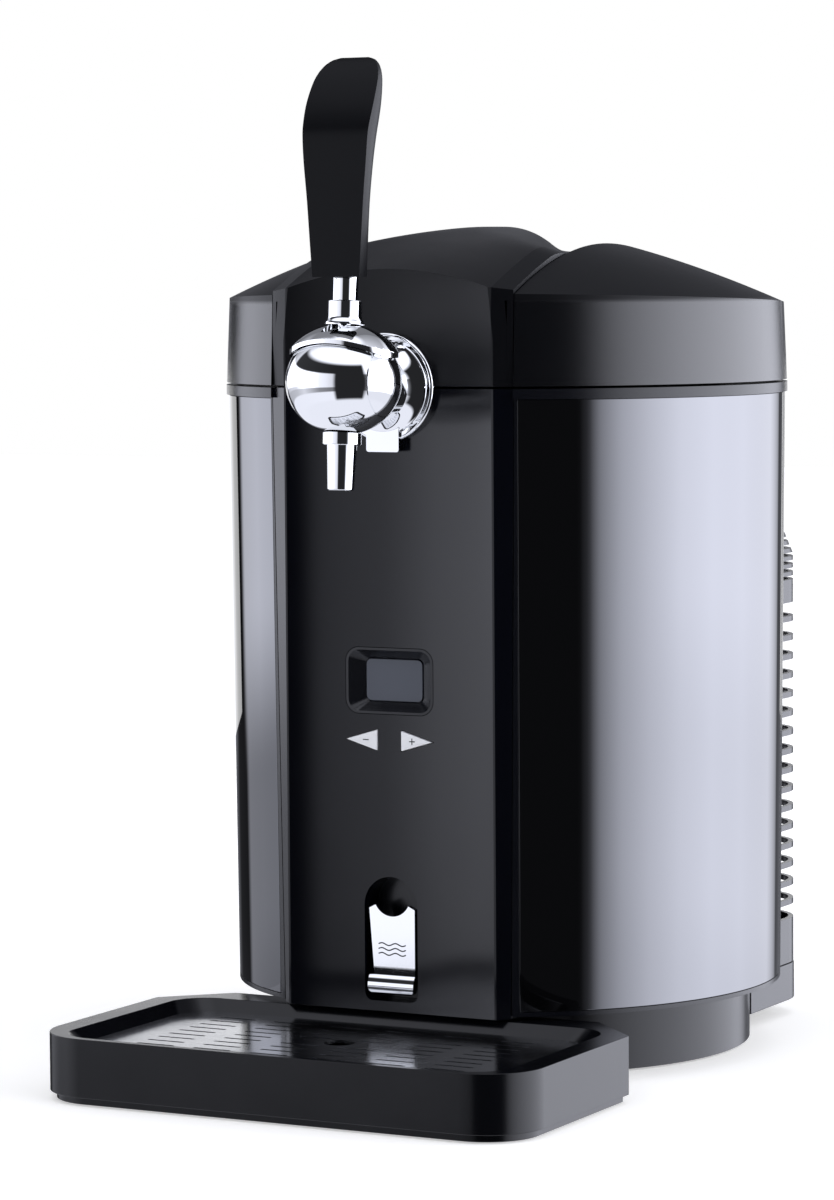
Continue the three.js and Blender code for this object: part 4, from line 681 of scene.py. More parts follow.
class NodeTree(Wiring):
    """A Geometry Nodes tree with named inputs that is run once into a plain solid."""

    def __init__(self, name: str) -> None:
        """Starts a tree.

        Args:
            name: the tree's name.
        """
        super().__init__(bpy.data.node_groups.new(name, "GeometryNodeTree"))
        self.tree.interface.new_socket("Geometry", in_out="OUTPUT", socket_type="NodeSocketGeometry")
        self.group = self.tree.nodes.new("NodeGroupInput")
        self.values: dict[str, float | int] = {}

    def number(self, name: str, value: float, whole: bool = False) -> Socket:
        """Adds a named input.

        Args:
            name: the input's name.
            value: its value.
            whole: whether it is a whole number.

        Returns:
            The socket that carries it inside the tree.
        """
        kind = "NodeSocketInt" if whole else "NodeSocketFloat"
        socket = self.tree.interface.new_socket(name, in_out="INPUT", socket_type=kind)
        self.values[socket.identifier] = int(value) if whole else float(value)
        return next(s for s in self.group.outputs if s.identifier == socket.identifier)

    def vector(self, x: object = 0.0, y: object = 0.0, z: object = 0.0) -> Socket:
        """A vector of three values or sockets."""
        return self.node("ShaderNodeCombineXYZ", X=x, Y=y, Z=z).outputs[0]

    def named(self, name: str, values: Point) -> Socket:
        """A vector of three named inputs, one for each axis."""
        return self.vector(*(self.number(f"{name} {a}", v) for a, v in zip("XYZ", values)))

    def copies(self, points: bpy.types.Node, item: bpy.types.Node, **inputs: object) -> bpy.types.Node:
        """Copies of an item at every point."""
        return self.node("GeometryNodeInstanceOnPoints", Points=points, Instance=item, **inputs)

    def run(self, geometry: bpy.types.Node, finish: Finish) -> Solid:
        """Closes the tree and runs it.

        Args:
            geometry: the node with the finished geometry.
            finish: the finish of what it makes.

        Returns:
            The result as a solid, with its instances made real.
        """
        real = self.node("GeometryNodeRealizeInstances", Geometry=geometry)
        dressed = self.node("GeometryNodeSetMaterial", Geometry=real, Material=finish.material())
        self.node("NodeGroupOutput", Geometry=dressed)
        holder = bpy.data.objects.new("holder", bpy.data.meshes.new("holder"))
        modifier = holder.modifiers.new("nodes", "NODES")
        modifier.node_group = self.tree
        for identifier, value in self.values.items():
            modifier[identifier] = value
        bpy.context.scene.collection.objects.link(holder)
        mesh = evaluated(holder)
        holder.modifiers.clear()
        bpy.data.objects.remove(holder)
        mesh.materials.clear()
        return Solid(mesh)


def row_of_bars(name: str, size: Point, start: Point, pitch: Point, count: int, finish: Finish) -> Solid:
    """A row of equal bars, such as slats, fins or the gaps between them.

    Args:
        name: the tree's name.
        size: each bar's size along x, y and z.
        start: the first bar's centre.
        pitch: the step from one bar to the next.
        count: the number of bars.
        finish: the finish that they take.

    Returns:
        The bars as one solid of separate bodies.
    """
    tree = NodeTree(name)
    line = tree.node("GeometryNodeMeshLine", {"mode": "OFFSET"}, Count=tree.number("Count", count, True),
                     Start_Location=tree.named("Start", start), Offset=tree.named("Pitch", pitch))
    cube = tree.node("GeometryNodeMeshCube", Size=tree.named("Bar", size))
    return tree.run(tree.copies(line, cube), finish)


class Workshop:
    """Places finished solids in the row frame, and dresses what stays CAD."""

    def __init__(self, frame: dict[str, object]) -> None:
        """Keeps the loaded frame.
        """
        self.nodes: dict[str, bpy.types.Object] = frame["nodes"]
        self.body_of = {node: body for body, nodes in frame["record"]["behaviour"]["bodies"].items()
                        for node in nodes}
        self.dressed: set[str] = set()

    def place(self, solid: Solid, name: str, finish: Finish, body: str | None = None,
              smooth: float = 35) -> bpy.types.Object:
        """Makes a piece of a solid and lets it ride on its body.

        Args:
            solid: the piece's solid, in millimetres.
            name: a CAD node's name, which the piece then stands for, or a new name.
            finish: its finish.
            body: the body it rides on; a CAD node's own body if left out.
            smooth: edges flatter than this many degrees are shaded smooth.

        Returns:
            The piece.
        """
        mesh = solid.mesh.copy()
        mesh.transform(Matrix.Scale(MM, 4) @ Matrix.Translation((0, ROW_SHIFT, 0)))
        mesh.shade_smooth()
        mesh.set_sharp_from_angle(angle=math.radians(smooth))
        mesh = applied(mesh, "WEIGHTED_NORMAL", weight=100, keep_sharp=True)
        mesh.materials.clear()
        mesh.materials.append(finish.material())
        piece_name = f"{name}_dressed" if name in self.nodes else name
        mesh.name = piece_name
        piece = bpy.data.objects.new(piece_name, mesh)
        bpy.context.scene.collection.objects.link(piece)
        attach(piece, body or self.body_of[name])
        if name in self.nodes:
            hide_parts(name)
            self.dressed.add(name)
        log.info("%s: %d faces, rides on %s", piece_name, len(mesh.polygons), body or self.body_of[name])
        return piece

    def copy(self, name: str, finish: Finish, width: float = 0.3, segments: int = 2,
             smooth: float = 35) -> bpy.types.Object:
        """Places a rounded copy of a CAD node.

        Args:
            name: the CAD node.
            finish: the copy's finish.
            width: the rounding of its edges, in millimetres.
            segments: the facets of the rounding.
            smooth: edges flatter than this many degrees are shaded smooth.

        Returns:
            The piece.
        """
        solid = Solid.copy_of(self.nodes[name])
        if width:
            solid = solid.softened(width, segments)
        return self.place(solid, name, finish, smooth=smooth)

    def paint(self, name: str, finish: Finish) -> None:
        """Gives a CAD node that stays shown its finish.

        Args:
            name: the CAD node.
            finish: the finish.
        """
        node = self.nodes[name]
        node.data.materials.clear()
        node.data.materials.append(finish.material())
        self.dressed.add(name)
        log.info("%s: CAD solid, %s", name, finish.name)

    def undressed(self) -> list[str]:
        """The CAD nodes that have no finish yet."""
        return sorted(set(self.nodes) - self.dressed)


@dataclass(frozen=True)
class DrumSize:
    """Sizes of the drum that its own pieces, the lid, the tap and the housing share."""

    top_radius: float = 135.6
    bottom_radius: float = 133.1
    bottom: float = 33.2
    top: float = 319.3
    deck_top: float = 324.0
    face: float = -124.1
    flat_half: float = 55.0
    top_half: float = 63.2
    bottom_half: float = 59.8
    panel_wall: float = 3.0
    panel_gap: float = 0.5
    flange_wall: float = 2.5
    flange_back: float = -108.1
    seam: float = 324.6
    notch_radius: float = 15.0
    pass_radius: float = 10.5
    pass_back: float = -80.0
    foot_radius: float = 113.4
    foot_shift: float = 11.9
    cut_front: float = -140.0
    fit: float = 0.3

    def between(self, low: float, high: float, z: float) -> float:
        """The value at a height, for the values at the drum's bottom and top."""
        return low + (high - low) * ((z - self.bottom) / (self.top - self.bottom))

    def radius(self, z: float) -> float:
        """The outside radius at a height."""
        return self.between(self.bottom_radius, self.top_radius, z)

    def panel_half(self, z: float) -> float:
        """Half of the front panel's width at a height."""
        return self.between(self.bottom_half, self.top_half, z)

    def shank_notch(self) -> Solid:
        """The round cutter that makes way for the tap's shank at the seam."""
        return Solid.rod(self.notch_radius, self.cut_front, self.flange_back, Axis.Y).moved(z=self.seam)

    def shank_pass(self) -> Solid:
        """The narrower cutter along the shank, as far as the keg chamber."""
        return Solid.rod(self.pass_radius, self.cut_front, self.pass_back, Axis.Y).moved(z=self.seam)


@dataclass
class Drum:
    """The cooled drum: shell, glossy sides, deck, front panel, foot and pads."""

    size: DrumSize
    wall: float = 4.0
    sheet: float = 1.2
    sheet_front: float = 28.6
    sheet_rear: float = 106.0
    sheet_play: float = 0.13
    sheet_bottom: float = 35.6
    flange_gap: float = 0.4
    panel_low: float = 32.2
    window_half: float = 66.0
    window_front: float = 60.0
    window_low: float = 74.0
    window_high: float = 216.0
    deck_inner: float = 90.8
    deck_seat: float = 96.8
    deck_step: float = 2.3
    deck_proud: float = 1.2
    foot_low: float = 1.0
    foot_wall: float = 3.0
    pad_hole: float = 9.3
    pad_reach: float = 95.0
    pad_top: float = 2.3
    steps: int = 240
    band_steps: int = 72
    foot_steps: int = 192

    def band(self, start: float, end: float, inset: float, thickness: float, low: float,
             high: float) -> Solid:
        """A curved band on the drum's right side.

        Args:
            start: its front edge, in degrees from the front.
            end: its rear edge, in degrees from the front.
            inset: how far its outside lies inside the drum's surface.
            thickness: its thickness.
            low: its lower edge.
            high: its upper edge.

        Returns:
            The band.
        """
        first, last = math.radians(start - 90), math.radians(end - 90)
        rings = []
        for z in (low, high):
            outer = self.size.radius(z) - inset
            line = arc(0, 0, outer, first, last, self.band_steps)
            line += arc(0, 0, outer - thickness, last, first, self.band_steps)
            rings.append([(x, y, z) for x, y in line])
        return Solid.loft(rings)

    def shell(self) -> Solid:
        """The drum's shell with its openings.

        Returns:
            The shell.
        """
        s = self.size
        low, high = s.radius(s.bottom), s.radius(s.top)
        tube = Solid.turned([(low, s.bottom), (high, s.top), (high - self.wall, s.top),
                             (low - self.wall, s.bottom), (low, s.bottom)], self.steps)
        back = s.flange_back + self.flange_gap
        rings = []
        for z in (s.bottom - OVERRUN, s.top + OVERRUN):
            reach = s.panel_half(z) + s.panel_gap
            rings.append([(-reach, s.cut_front, z), (reach, s.cut_front, z), (reach, back, z),
                          (-reach, back, z)])
        recess = self.band(self.sheet_front - self.sheet_play, self.sheet_rear + self.sheet_play,
                           -OVERRUN, self.sheet + s.fit + OVERRUN, self.sheet_bottom - s.fit,
                           s.top + OVERRUN)
        window = Solid.box((-self.window_half, self.window_front, self.window_low),
                           (self.window_half, -s.cut_front, self.window_high))
        return tube.cut(Solid.loft(rings), recess, recess.mirrored(), window)

    def front_panel(self, holes: Sequence[Solid]) -> Solid:
        """The front panel with its bevelled sides and flanges.

        Args:
            holes: the cutters of its openings.

        Returns:
            The panel.
        """
        s = self.size
        rings = []
        for z in (self.panel_low, s.deck_top):
            reach = s.panel_half(z)
            edge = -math.sqrt(s.radius(z) ** 2 - reach ** 2)
            inner = reach - s.flange_wall
            half = [(s.flat_half, s.face), (reach, edge), (reach, s.flange_back),
                    (inner, s.flange_back), (inner, edge + s.panel_wall),
                    (s.flat_half - s.flange_wall, s.face + s.panel_wall)]
            line = [(-s.flat_half, s.face)] + half + [(-x, y) for x, y in half[:0:-1]]
            rings.append([(x, y, z) for x, y in line])
        return Solid.loft(rings).cut(*holes, s.shank_notch())

    def deck(self) -> Solid:
        """The ring on top of the drum that the lid rests over.

        Returns:
            The ring.
        """
        s = self.size
        edge, floor = s.top_radius + self.deck_proud, s.deck_top - self.deck_step
        ring = Solid.turned([(self.deck_inner, s.top), (edge, s.top), (edge, s.deck_top),
                             (self.deck_seat, s.deck_top), (self.deck_seat, floor),
                             (self.deck_inner, floor), (self.deck_inner, s.top)], self.steps)
        clear = s.panel_wall + s.fit
        reach, inner = s.top_half + s.panel_gap, s.top_half - s.flange_wall
        flat = s.flat_half - s.flange_wall
        bend = -math.sqrt(s.top_radius ** 2 - s.top_half ** 2) + clear
        low, high = s.top - OVERRUN, s.deck_top + OVERRUN
        front = Solid.upright([(-reach, s.cut_front), (reach, s.cut_front), (reach, bend),
                               (inner, bend), (flat, s.face + clear), (-flat, s.face + clear),
                               (-inner, bend), (-reach, bend)], low, high)
        slot = Solid.box((s.top_half - clear, s.cut_front, low),
                         (reach, s.flange_back + self.flange_gap, high))
        return ring.cut(front, slot, slot.mirrored(), s.shank_pass(), s.shank_notch())

    def foot(self) -> Solid:
        """The round foot, an open cup with pockets for the pads.

        Returns:
            The foot.
        """
        s = self.size
        inner, floor = s.foot_radius - self.foot_wall, self.foot_low + self.foot_wall
        cup = Solid.turned([(0, self.foot_low), (s.foot_radius, self.foot_low),
                            (s.foot_radius, s.bottom), (inner, s.bottom), (inner, floor),
                            (0, floor)], self.foot_steps)
        pocket = Solid.rod(self.pad_hole, -OVERRUN, self.pad_top)
        pockets = [pocket.moved(self.pad_reach * math.cos(a), self.pad_reach * math.sin(a))
                   for a in (math.radians(45 + 90 * i) for i in range(4))]
        return cup.cut(*pockets).moved(y=s.foot_shift)

    def build(self, shop: Workshop, holes: Sequence[Solid]) -> None:
        """Makes and places the drum's pieces.

        Args:
            shop: places the pieces.
            holes: the cutters of the front panel's openings.
        """
        shop.place(self.shell().softened(0.35), "body_shell", SATIN_BLACK)
        side = self.band(self.sheet_front, self.sheet_rear, 0, self.sheet, self.sheet_bottom,
                         self.size.top - self.size.fit).softened(0.25)
        shop.place(side, "side_panel_right", GLOSS_BLACK)
        shop.place(side.mirrored(), "side_panel_left", GLOSS_BLACK)
        shop.place(self.deck().softened(0.5), "deck_ring", SATIN_BLACK)
        shop.place(self.front_panel(holes).softened(0.5, 3, 20), "front_panel", FASCIA_BLACK, smooth=20)
        shop.place(self.foot().softened(0.8), "base_foot", TRAY_BLACK)
        for place in ("right_rear", "left_rear", "left_front", "right_front"):
            shop.copy(f"rubber_pad_{place}", RUBBER, 0.5)
        shop.paint("base_plate", SATIN_BLACK)


@dataclass
class FrontControls:
    """The sunken display and the two keys under it."""

    face: float
    half_width: float = 23.2
    low: float = 172.0
    high: float = 203.5
    corner: float = 7.0
    lip: float = 1.2
    depth: float = 5.5
    frame_depth: float = 7.5
    gap: float = 0.3
    glass_half: float = 14.75
    glass_low: float = 178.0
    glass_high: float = 197.5
    glass_corner: float = 2.5
    post_radius: float = 2.2
    post_inset: float = 2.5
    post_sunk: float = 0.5
    post_back: float = -106.1
    key_z: float = 160.0
    key_inner: float = 6.4
    key_length: float = 16.0
    key_height: float = 9.5
    key_gap: float = 0.35
    cut_depth: float = 4.0
    mark_proud: float = 0.86
    mark_depth: float = 0.2
    mark_half: float = 1.5
    mark_stroke: float = 0.24
    mark_share: float = 0.36
    steps: int = 14

    def opening(self, margin: float) -> Outline:
        """The display opening's outline, moved in by a margin."""
        return rectangle(self.half_width - margin, self.low + margin, self.high - margin,
                         self.corner - margin, self.steps)

    def glass(self, margin: float) -> Outline:
        """The display window's outline, grown by a margin."""
        return rectangle(self.glass_half + margin, self.glass_low - margin,
                         self.glass_high + margin, self.glass_corner + margin, self.steps)

    def key_outline(self, margin: float) -> Outline:
        """The left key's triangle.

        Args:
            margin: how far it is grown.

        Returns:
            The triangle's corners.
        """
        half = self.key_height / 2
        slope = math.hypot(self.key_length, half)
        tip = margin * slope / half
        grow = margin * (slope + half) / self.key_length
        base = -self.key_inner + margin
        return [(-self.key_inner - self.key_length - tip, self.key_z),
                (base, self.key_z - half - grow), (base, self.key_z + half + grow)]

    def holes(self) -> list[Solid]:
        """The cutters of the display's and the keys' openings.

        Returns:
            The cutters.
        """
        front, back = self.face - OVERRUN, self.face + self.cut_depth
        key = Solid.forward(self.key_outline(self.key_gap), front, back)
        return [Solid.forward(self.opening(0), front, back), key, key.mirrored()]

    def frame(self) -> Solid:
        """The frame that slopes in to the display window.

        Returns:
            The frame with its two posts.
        """
        floor, back = self.face + self.depth, self.face + self.frame_depth
        sleeve = Solid.forward(self.opening(self.gap), self.face, back)
        slope = Solid.loft([[(x, self.face - self.gap, z) for x, z in self.opening(self.lip)],
                            [(x, floor, z) for x, z in self.glass(self.gap)]])
        hole = Solid.forward(self.glass(self.gap), floor - self.gap, back + OVERRUN)
        post = Solid.rod(self.post_radius, back - self.post_sunk, self.post_back, Axis.Y, 32)
        x, z = self.half_width - self.post_inset, (self.low + self.high) / 2
        return sleeve.cut(slope, hole).join(post.moved(-x, 0, z), post.moved(x, 0, z))

    def stroke(self, half_width: float, half_height: float) -> Solid:
        """A printed stroke at the keys' height, on the middle line."""
        front = self.face - self.mark_proud
        return Solid.box((-half_width, front, self.key_z - half_height),
                         (half_width, front + self.mark_depth, self.key_z + half_height))

    def marks(self) -> list[Solid]:
        """The printed minus of the left key and plus of the right key.

        Returns:
            The minus and the plus.
        """
        x = self.key_inner + self.key_length * self.mark_share
        bar = self.stroke(self.mark_half, self.mark_stroke)
        post = self.stroke(self.mark_stroke, self.mark_half)
        return [bar.moved(-x), bar.join(post).moved(x)]

    def build(self, shop: Workshop) -> None:
        """Makes and places the controls.

        Args:
            shop: places the pieces.
        """
        shop.place(self.frame().softened(0.35, 3), "display_frame", SATIN_BLACK)
        shop.copy("display_window", DISPLAY, 0.25)
        for sign in ("minus", "plus"):
            shop.copy(f"{sign}_button", KEY_WHITE, 0.4, 3)
        for sign, mark in zip(("minus", "plus"), self.marks()):
            shop.place(mark, f"{sign}_mark", PRINT_DARK, f"{sign}_key")
        shop.copy("control_board", BOARD, 0.15)


@dataclass
class Drain:
    """The drain opening with its pocket, chrome slide and spout."""

    face: float
    half: float = 14.0
    low: float = 37.0
    high: float = 95.8
    corner: float = 4.0
    cut_depth: float = 4.0
    wall: float = 2.0
    pocket_front: float = 3.0
    pocket_back: float = -108.0
    spout_hole: float = 4.9
    spout_front: float = -121.0
    spout_z: float = 55.0
    tab_half: float = 12.0
    tab_low: float = 40.2
    tab_sunk: float = 1.0
    tab_thickness: float = 3.0
    horn: float = 82.3
    horn_share: float = 0.72
    notch: float = 77.0
    lip_height: float = 9.0
    lip_proud: float = 2.2
    lip_lean: float = 0.8
    lip_fullness: float = 0.7
    rib_half: float = 5.0
    rib_low: float = 64.0
    rib_high: float = 74.0
    rib_back: float = -110.3
    wave_length: float = 14.4
    wave_height: float = 0.55
    wave_count: float = 2.0
    wave_pitch: float = 2.3
    wave_rows: int = 3
    wave_z: float = 61.5
    wave_sunk: float = 0.98
    line_radius: float = 0.3
    line_flatness: float = 0.3
    corner_steps: int = 12
    arch_steps: int = 40

    def outline(self, inset: float) -> Outline:
        """The opening's outline, arched at the top.

        Args:
            inset: how far it is moved in.

        Returns:
            The outline's points.
        """
        reach, arch, low = self.half - inset, self.high - self.half, self.low + inset
        lower_part = rounded([(-reach, low, self.corner), (reach, low, self.corner),
                              (reach, arch, 0), (-reach, arch, 0)], self.corner_steps)[:-2]
        return lower_part + arc(0, arch, reach, 0, math.pi, self.arch_steps)

    def hole(self) -> Solid:
        """The cutter of the opening."""
        return Solid.forward(self.outline(0), self.face - OVERRUN, self.face + self.cut_depth)

    def pocket(self) -> Solid:
        """The cup behind the opening.

        Returns:
            The cup with the spout's hole.
        """
        front = self.face + self.pocket_front
        outside = Solid.forward(self.outline(-self.wall), front, self.pocket_back)
        inside = Solid.forward(self.outline(0), front - OVERRUN, self.pocket_back - self.wall)
        spout = Solid.rod(self.spout_hole, self.spout_front, self.pocket_back + OVERRUN, Axis.Y)
        return outside.cut(inside, spout.moved(z=self.spout_z))

    def slide(self) -> Solid:
        """The slide: concave top edge, rounded horns and a swelling lower lip.

        Returns:
            The slide with the rib behind it.
        """
        front = self.face + self.tab_sunk
        back = front + self.tab_thickness
        half, low = self.tab_half, self.tab_low
        horn_x = half * self.horn_share
        rise = self.horn - self.notch
        radius = (horn_x ** 2 + rise ** 2) / (2 * rise)
        sweep = math.asin(horn_x / radius)
        top = arc(0, self.notch + radius, radius, -math.pi / 2 + sweep, -math.pi / 2 - sweep, 32)
        corner = half - horn_x
        side_z = self.horn - corner / 2
        outline = rounded([(-half, low, corner), (half, low, corner), (half, self.horn, 0)],
                          self.corner_steps)[:-1]
        outline += [(half, side_z)] + top + [(-half, side_z)]
        plate = Solid.forward(outline, front, back)
        swell = [(back, low), (front, low)]
        for share in spread(0, 1, 16):
            bulge = math.sin(math.pi * share ** self.lip_lean) ** self.lip_fullness
            swell.append((front - self.lip_proud * bulge, low + self.lip_height * share))
        swell.append((back, low + self.lip_height))
        lip = Solid.sideways(swell, -half, half)
        clip = Solid.forward(rectangle(half, low, self.horn, corner, self.corner_steps),
                             front - 2 * self.lip_proud, back)
        rib = Solid.box((-self.rib_half, back - OVERRUN, self.rib_low),
                        (self.rib_half, self.rib_back, self.rib_high))
        return plate.join(lip.common(clip), rib)

    def waves(self) -> Solid:
        """The three wavy lines of the water mark, run along a sine by nodes.

        Returns:
            The lines.
        """
        tree = NodeTree("wavy_lines")
        length = tree.number("Length", self.wave_length)
        height = tree.number("Wave height", self.wave_height)
        turns = tree.number("Waves", self.wave_count)
        pitch = tree.number("Pitch", self.wave_pitch)
        line = tree.node("GeometryNodeCurvePrimitiveLine", Start=tree.vector(), End=tree.vector(length))
        fine = tree.node("GeometryNodeResampleCurve", Curve=line, Count=48)
        share = tree.node("GeometryNodeSplineParameter").outputs["Factor"]
        angle = tree.math("MULTIPLY", tree.math("MULTIPLY", share, turns), 2 * math.pi)
        lift = tree.math("MULTIPLY", tree.math("SINE", angle), height)
        bent = tree.node("GeometryNodeSetPosition", Geometry=fine, Offset=tree.vector(z=lift))
        section = tree.node("GeometryNodeCurvePrimitiveCircle", {"mode": "RADIUS"},
                            Resolution=8, Radius=self.line_radius)
        tube = tree.node("GeometryNodeCurveToMesh", Curve=bent, Profile_Curve=section, Fill_Caps=True)
        rows = tree.node("GeometryNodeMeshLine", {"mode": "OFFSET"}, Count=self.wave_rows,
                         Start_Location=tree.vector(), Offset=tree.vector(z=pitch))
        place = Matrix.Translation((-self.wave_length / 2, self.face + self.wave_sunk,
                                    self.wave_z - self.wave_pitch))
        flat = Matrix.Scale(self.line_flatness, 4, (0, 1, 0))
        return tree.run(tree.copies(rows, tube), PRINT_DARK).turned_by(place @ flat)

    def build(self, shop: Workshop) -> None:
        """Makes and places the drain's pieces.

        Args:
            shop: places the pieces.
        """
        shop.place(self.pocket().softened(0.3), "drain_pocket", SATIN_BLACK)
        shop.place(self.slide().softened(0.45, 3), "drain_slide", CHROME)
        shop.place(self.waves(), "water_mark", PRINT_DARK, "drain_gate")
        shop.copy("drain_spout", RUBBER, 0.3)


def lower(a: float, b: float, blend: float) -> float:
    """The lower of two heights, with a soft change over."""
    return (a + b - math.hypot(a - b, blend)) / 2


def higher(a: float, b: float, blend: float) -> float:
    """The higher of two heights, with a soft change over."""
    return (a + b + math.hypot(a - b, blend)) / 2


@dataclass
class Hood:
    """The hood in which the lid's strip rises over the tap."""

    front_rise: float = 15.0
    run: float = 80.0
    climb: float = 25.6
    sag: float = 5.1
    arch: float = 9.5
    ease: float = 9.6
    top_rise: float = 35.5
    edge_fall: float = 10.4
    edge_power: float = 1.5
    sweep: float = 71.0
    sweep_power: float = 1.25
    tail_run: float = 30.0
    tail_fall: float = 9.0
    blend: float = 2.5

    def height(self, reach: float, y: float, face: float) -> float:
        """Its height over the lid's edge.

        Args:
            reach: how far out the point lies, as a share of the strip's flat half.
            y: the point's place from front to back.
            face: the front panel's place.

        Returns:
            The height.
        """
        way = (y - face) / self.run
        front = self.front_rise + self.climb * way - self.sag * way * way
        front -= (self.arch - self.ease * way) * reach ** 2
        tail = max(y + self.sweep * reach ** self.sweep_power, 0) / self.tail_run
        back = self.top_rise - self.edge_fall * reach ** self.edge_power - self.tail_fall * tail ** 2
        return lower(front, back, self.blend)


@dataclass
class Lid:
    """The domed lid with the strip along its middle: a low band that rises to a hood in front."""

    drum: DrumSize
    hood: Hood
    bottom: float = 325.2
    bottom_radius: float = 136.6
    edge_radius: float = 135.0
    edge_z: float = 364.4
    rise: float = 36.4
    apex_forward: float = 23.2
    dome_radius: float = 134.0
    fullness: float = 1.7
    fall: float = 0.03
    wall: float = 3.5
    band_rise: float = 23.0
    band_fullness: float = 3.2
    band_blend: float = 1.5
    bevel: float = 2.7
    strip_depth: float = 3.0
    strip_wall: float = 3.5
    strip_play: float = 0.5
    strip_back: float = 137.0
    fascia_inset: float = 1.2
    mouth_back: float = -111.7
    mouth_gap: float = 0.4
    cut_reach: float = 138.0
    cut_top: float = 430.0
    settle: int = 30
    steps: int = 240

    def skirt(self, z: float) -> float:
        """The skirt's radius at a height."""
        draft = (self.bottom_radius - self.edge_radius) / (self.edge_z - self.bottom)
        return self.bottom_radius - draft * (z - self.bottom)

    def dome(self, x: float, y: float, offset: float = 0.0) -> float:
        """The dome's height, with its apex before the axis.

        Args:
            x: the place from side to side.
            y: the place from front to back.
            offset: how far over the lid's own dome.

        Returns:
            The height.
        """
        forward = y + self.apex_forward
        span = self.dome_radius ** 2 - self.apex_forward ** 2
        along = -self.apex_forward * forward
        share = (math.sqrt(along ** 2 + (x * x + forward ** 2) * span) + along) / span
        return self.edge_z + offset - self.fall * y + self.rise * (1 - share ** self.fullness)

    def band(self, x: float, y: float, depth: float = 0.0) -> float:
        """The height of the strip's low band at (x, y), or a depth under it."""
        share = (math.hypot(x, y) / self.dome_radius) ** self.band_fullness
        return self.edge_z - depth - self.fall * y + self.band_rise * (1 - share)

    def under(self, depth: float) -> Height:
        """The surface that lies a depth under the low band."""
        return lambda x, y: self.band(x, y, depth)

    def strip(self, x: float, y: float) -> float:
        """The strip's height.

        Args:
            x: the place from side to side.
            y: the place from front to back.

        Returns:
            The height.
        """
        reach, flat, half = abs(x), self.drum.flat_half, self.drum.top_half
        hood = self.edge_z + self.hood.height(min(reach / flat, 1), y, self.drum.face)
        bevel = self.bevel * max(reach - flat, 0) / (half - flat)
        return higher(self.band(x, y), hood, self.band_blend) - bevel

    def ceiling(self, x: float, y: float) -> float:
        """The underside of the hood: a wall under the strip, yet over the band's own floor."""
        return max(self.strip(x, y) - self.strip_wall, self.band(x, y, self.strip_depth + OVERRUN))

    def domed(self, inset: float, offset: float, low: float, rings: int) -> Solid:
        """A domed drum: a skirt and the dome on it.

        Args:
            inset: how far its skirt lies inside the lid's skirt.
            offset: the dome's height over the lid's own dome.
            low: its bottom's height.
            rings: the number of rings of the dome.

        Returns:
            The solid.
        """
        points, faces = [], []
        for i in range(self.steps):
            c, s = math.cos(2 * math.pi * i / self.steps), math.sin(2 * math.pi * i / self.steps)
            radius, z = self.edge_radius - inset, 0.0
            for _ in range(self.settle):
                z = self.dome(radius * c, radius * s, offset)
                radius = self.skirt(z) - inset
            points.append(((self.skirt(low) - inset) * c, (self.skirt(low) - inset) * s, low))
            for j in range(rings):
                r = radius * (1 - j / rings)
                points.append((r * c, r * s, self.dome(r * c, r * s, offset)))
        top, bottom = len(points), len(points) + 1
        points += [(0, 0, self.dome(0, 0, offset)), (0, 0, low)]
        row = rings + 1
        for i in range(self.steps):
            a, b = i * row, (i + 1) % self.steps * row
            faces += [[a + j, b + j, b + j + 1, a + j + 1] for j in range(rings)]
            faces += [[a + rings, b + rings, top], [b, a, bottom]]
        return Solid.of(points, faces)

    def shell(self) -> Solid:
        """The lid's shell with its channel for the strip.

        Returns:
            The shell, open in front of the fascia.
        """
        reach, low = self.drum.top_half + self.drum.panel_gap, self.bottom - OVERRUN
        across, along = reach + self.wall, self.cut_reach
        outside = self.domed(0, 0, self.bottom, 40)
        inside = self.domed(self.wall, -2 * self.wall, low, 12)
        wall = Solid.between(spread(-across, across, 12), spread(-along, along, 40),
                             self.under(self.strip_depth + self.wall), level(self.cut_top + OVERRUN))
        channel = Solid.between(spread(-reach, reach, 24), spread(-along, along, 60),
                                self.under(self.strip_depth), level(self.cut_top))
        front = Solid.box((-reach, -along, low), (reach, self.mouth_back, self.cut_top))
        return outside.cut(inside.cut(wall), channel, front)

    def cover(self) -> Solid:
        """The strip and the flat fascia that it ends in.

        Returns:
            The cover, hollow under its hood.
        """
        half, flat, face = self.drum.top_half, self.drum.flat_half, self.drum.face
        low, high = self.bottom, self.cut_top
        inner, inside = half - self.drum.flange_wall, face + self.drum.panel_wall
        mouth = self.mouth_back - self.mouth_gap
        edge = -math.sqrt((self.bottom_radius - self.fascia_inset) ** 2 - half ** 2)
        plan = Solid.upright([(-half, edge), (-flat, face), (flat, face), (half, edge),
                              (half, self.strip_back), (-half, self.strip_back)], low, high)
        skin = Solid.between([-half, *spread(-flat, flat, 40), half],
                             spread(face - OVERRUN, self.strip_back, 150), level(low - OVERRUN), self.strip)
        outside = Solid.turned([(0, low), (self.skirt(low), low), (self.skirt(high), high),
                                (0, high)], self.steps)
        floor = level(low - 2 * OVERRUN)
        below = Solid.between(spread(-half - OVERRUN, half + OVERRUN, 12),
                              spread(mouth, self.cut_reach, 50), floor,
                              self.under(self.strip_depth - self.strip_play))
        behind = Solid.between(spread(-inner, inner, 12), spread(inside, mouth + OVERRUN, 4),
                               floor, self.under(self.strip_depth))
        hollow = Solid.between(spread(-flat, flat, 20), spread(inside, 0, 20),
                               self.under(self.strip_depth + 2 * OVERRUN), self.ceiling)
        return plan.common(skin, outside).cut(below, behind, hollow, self.drum.shank_notch())

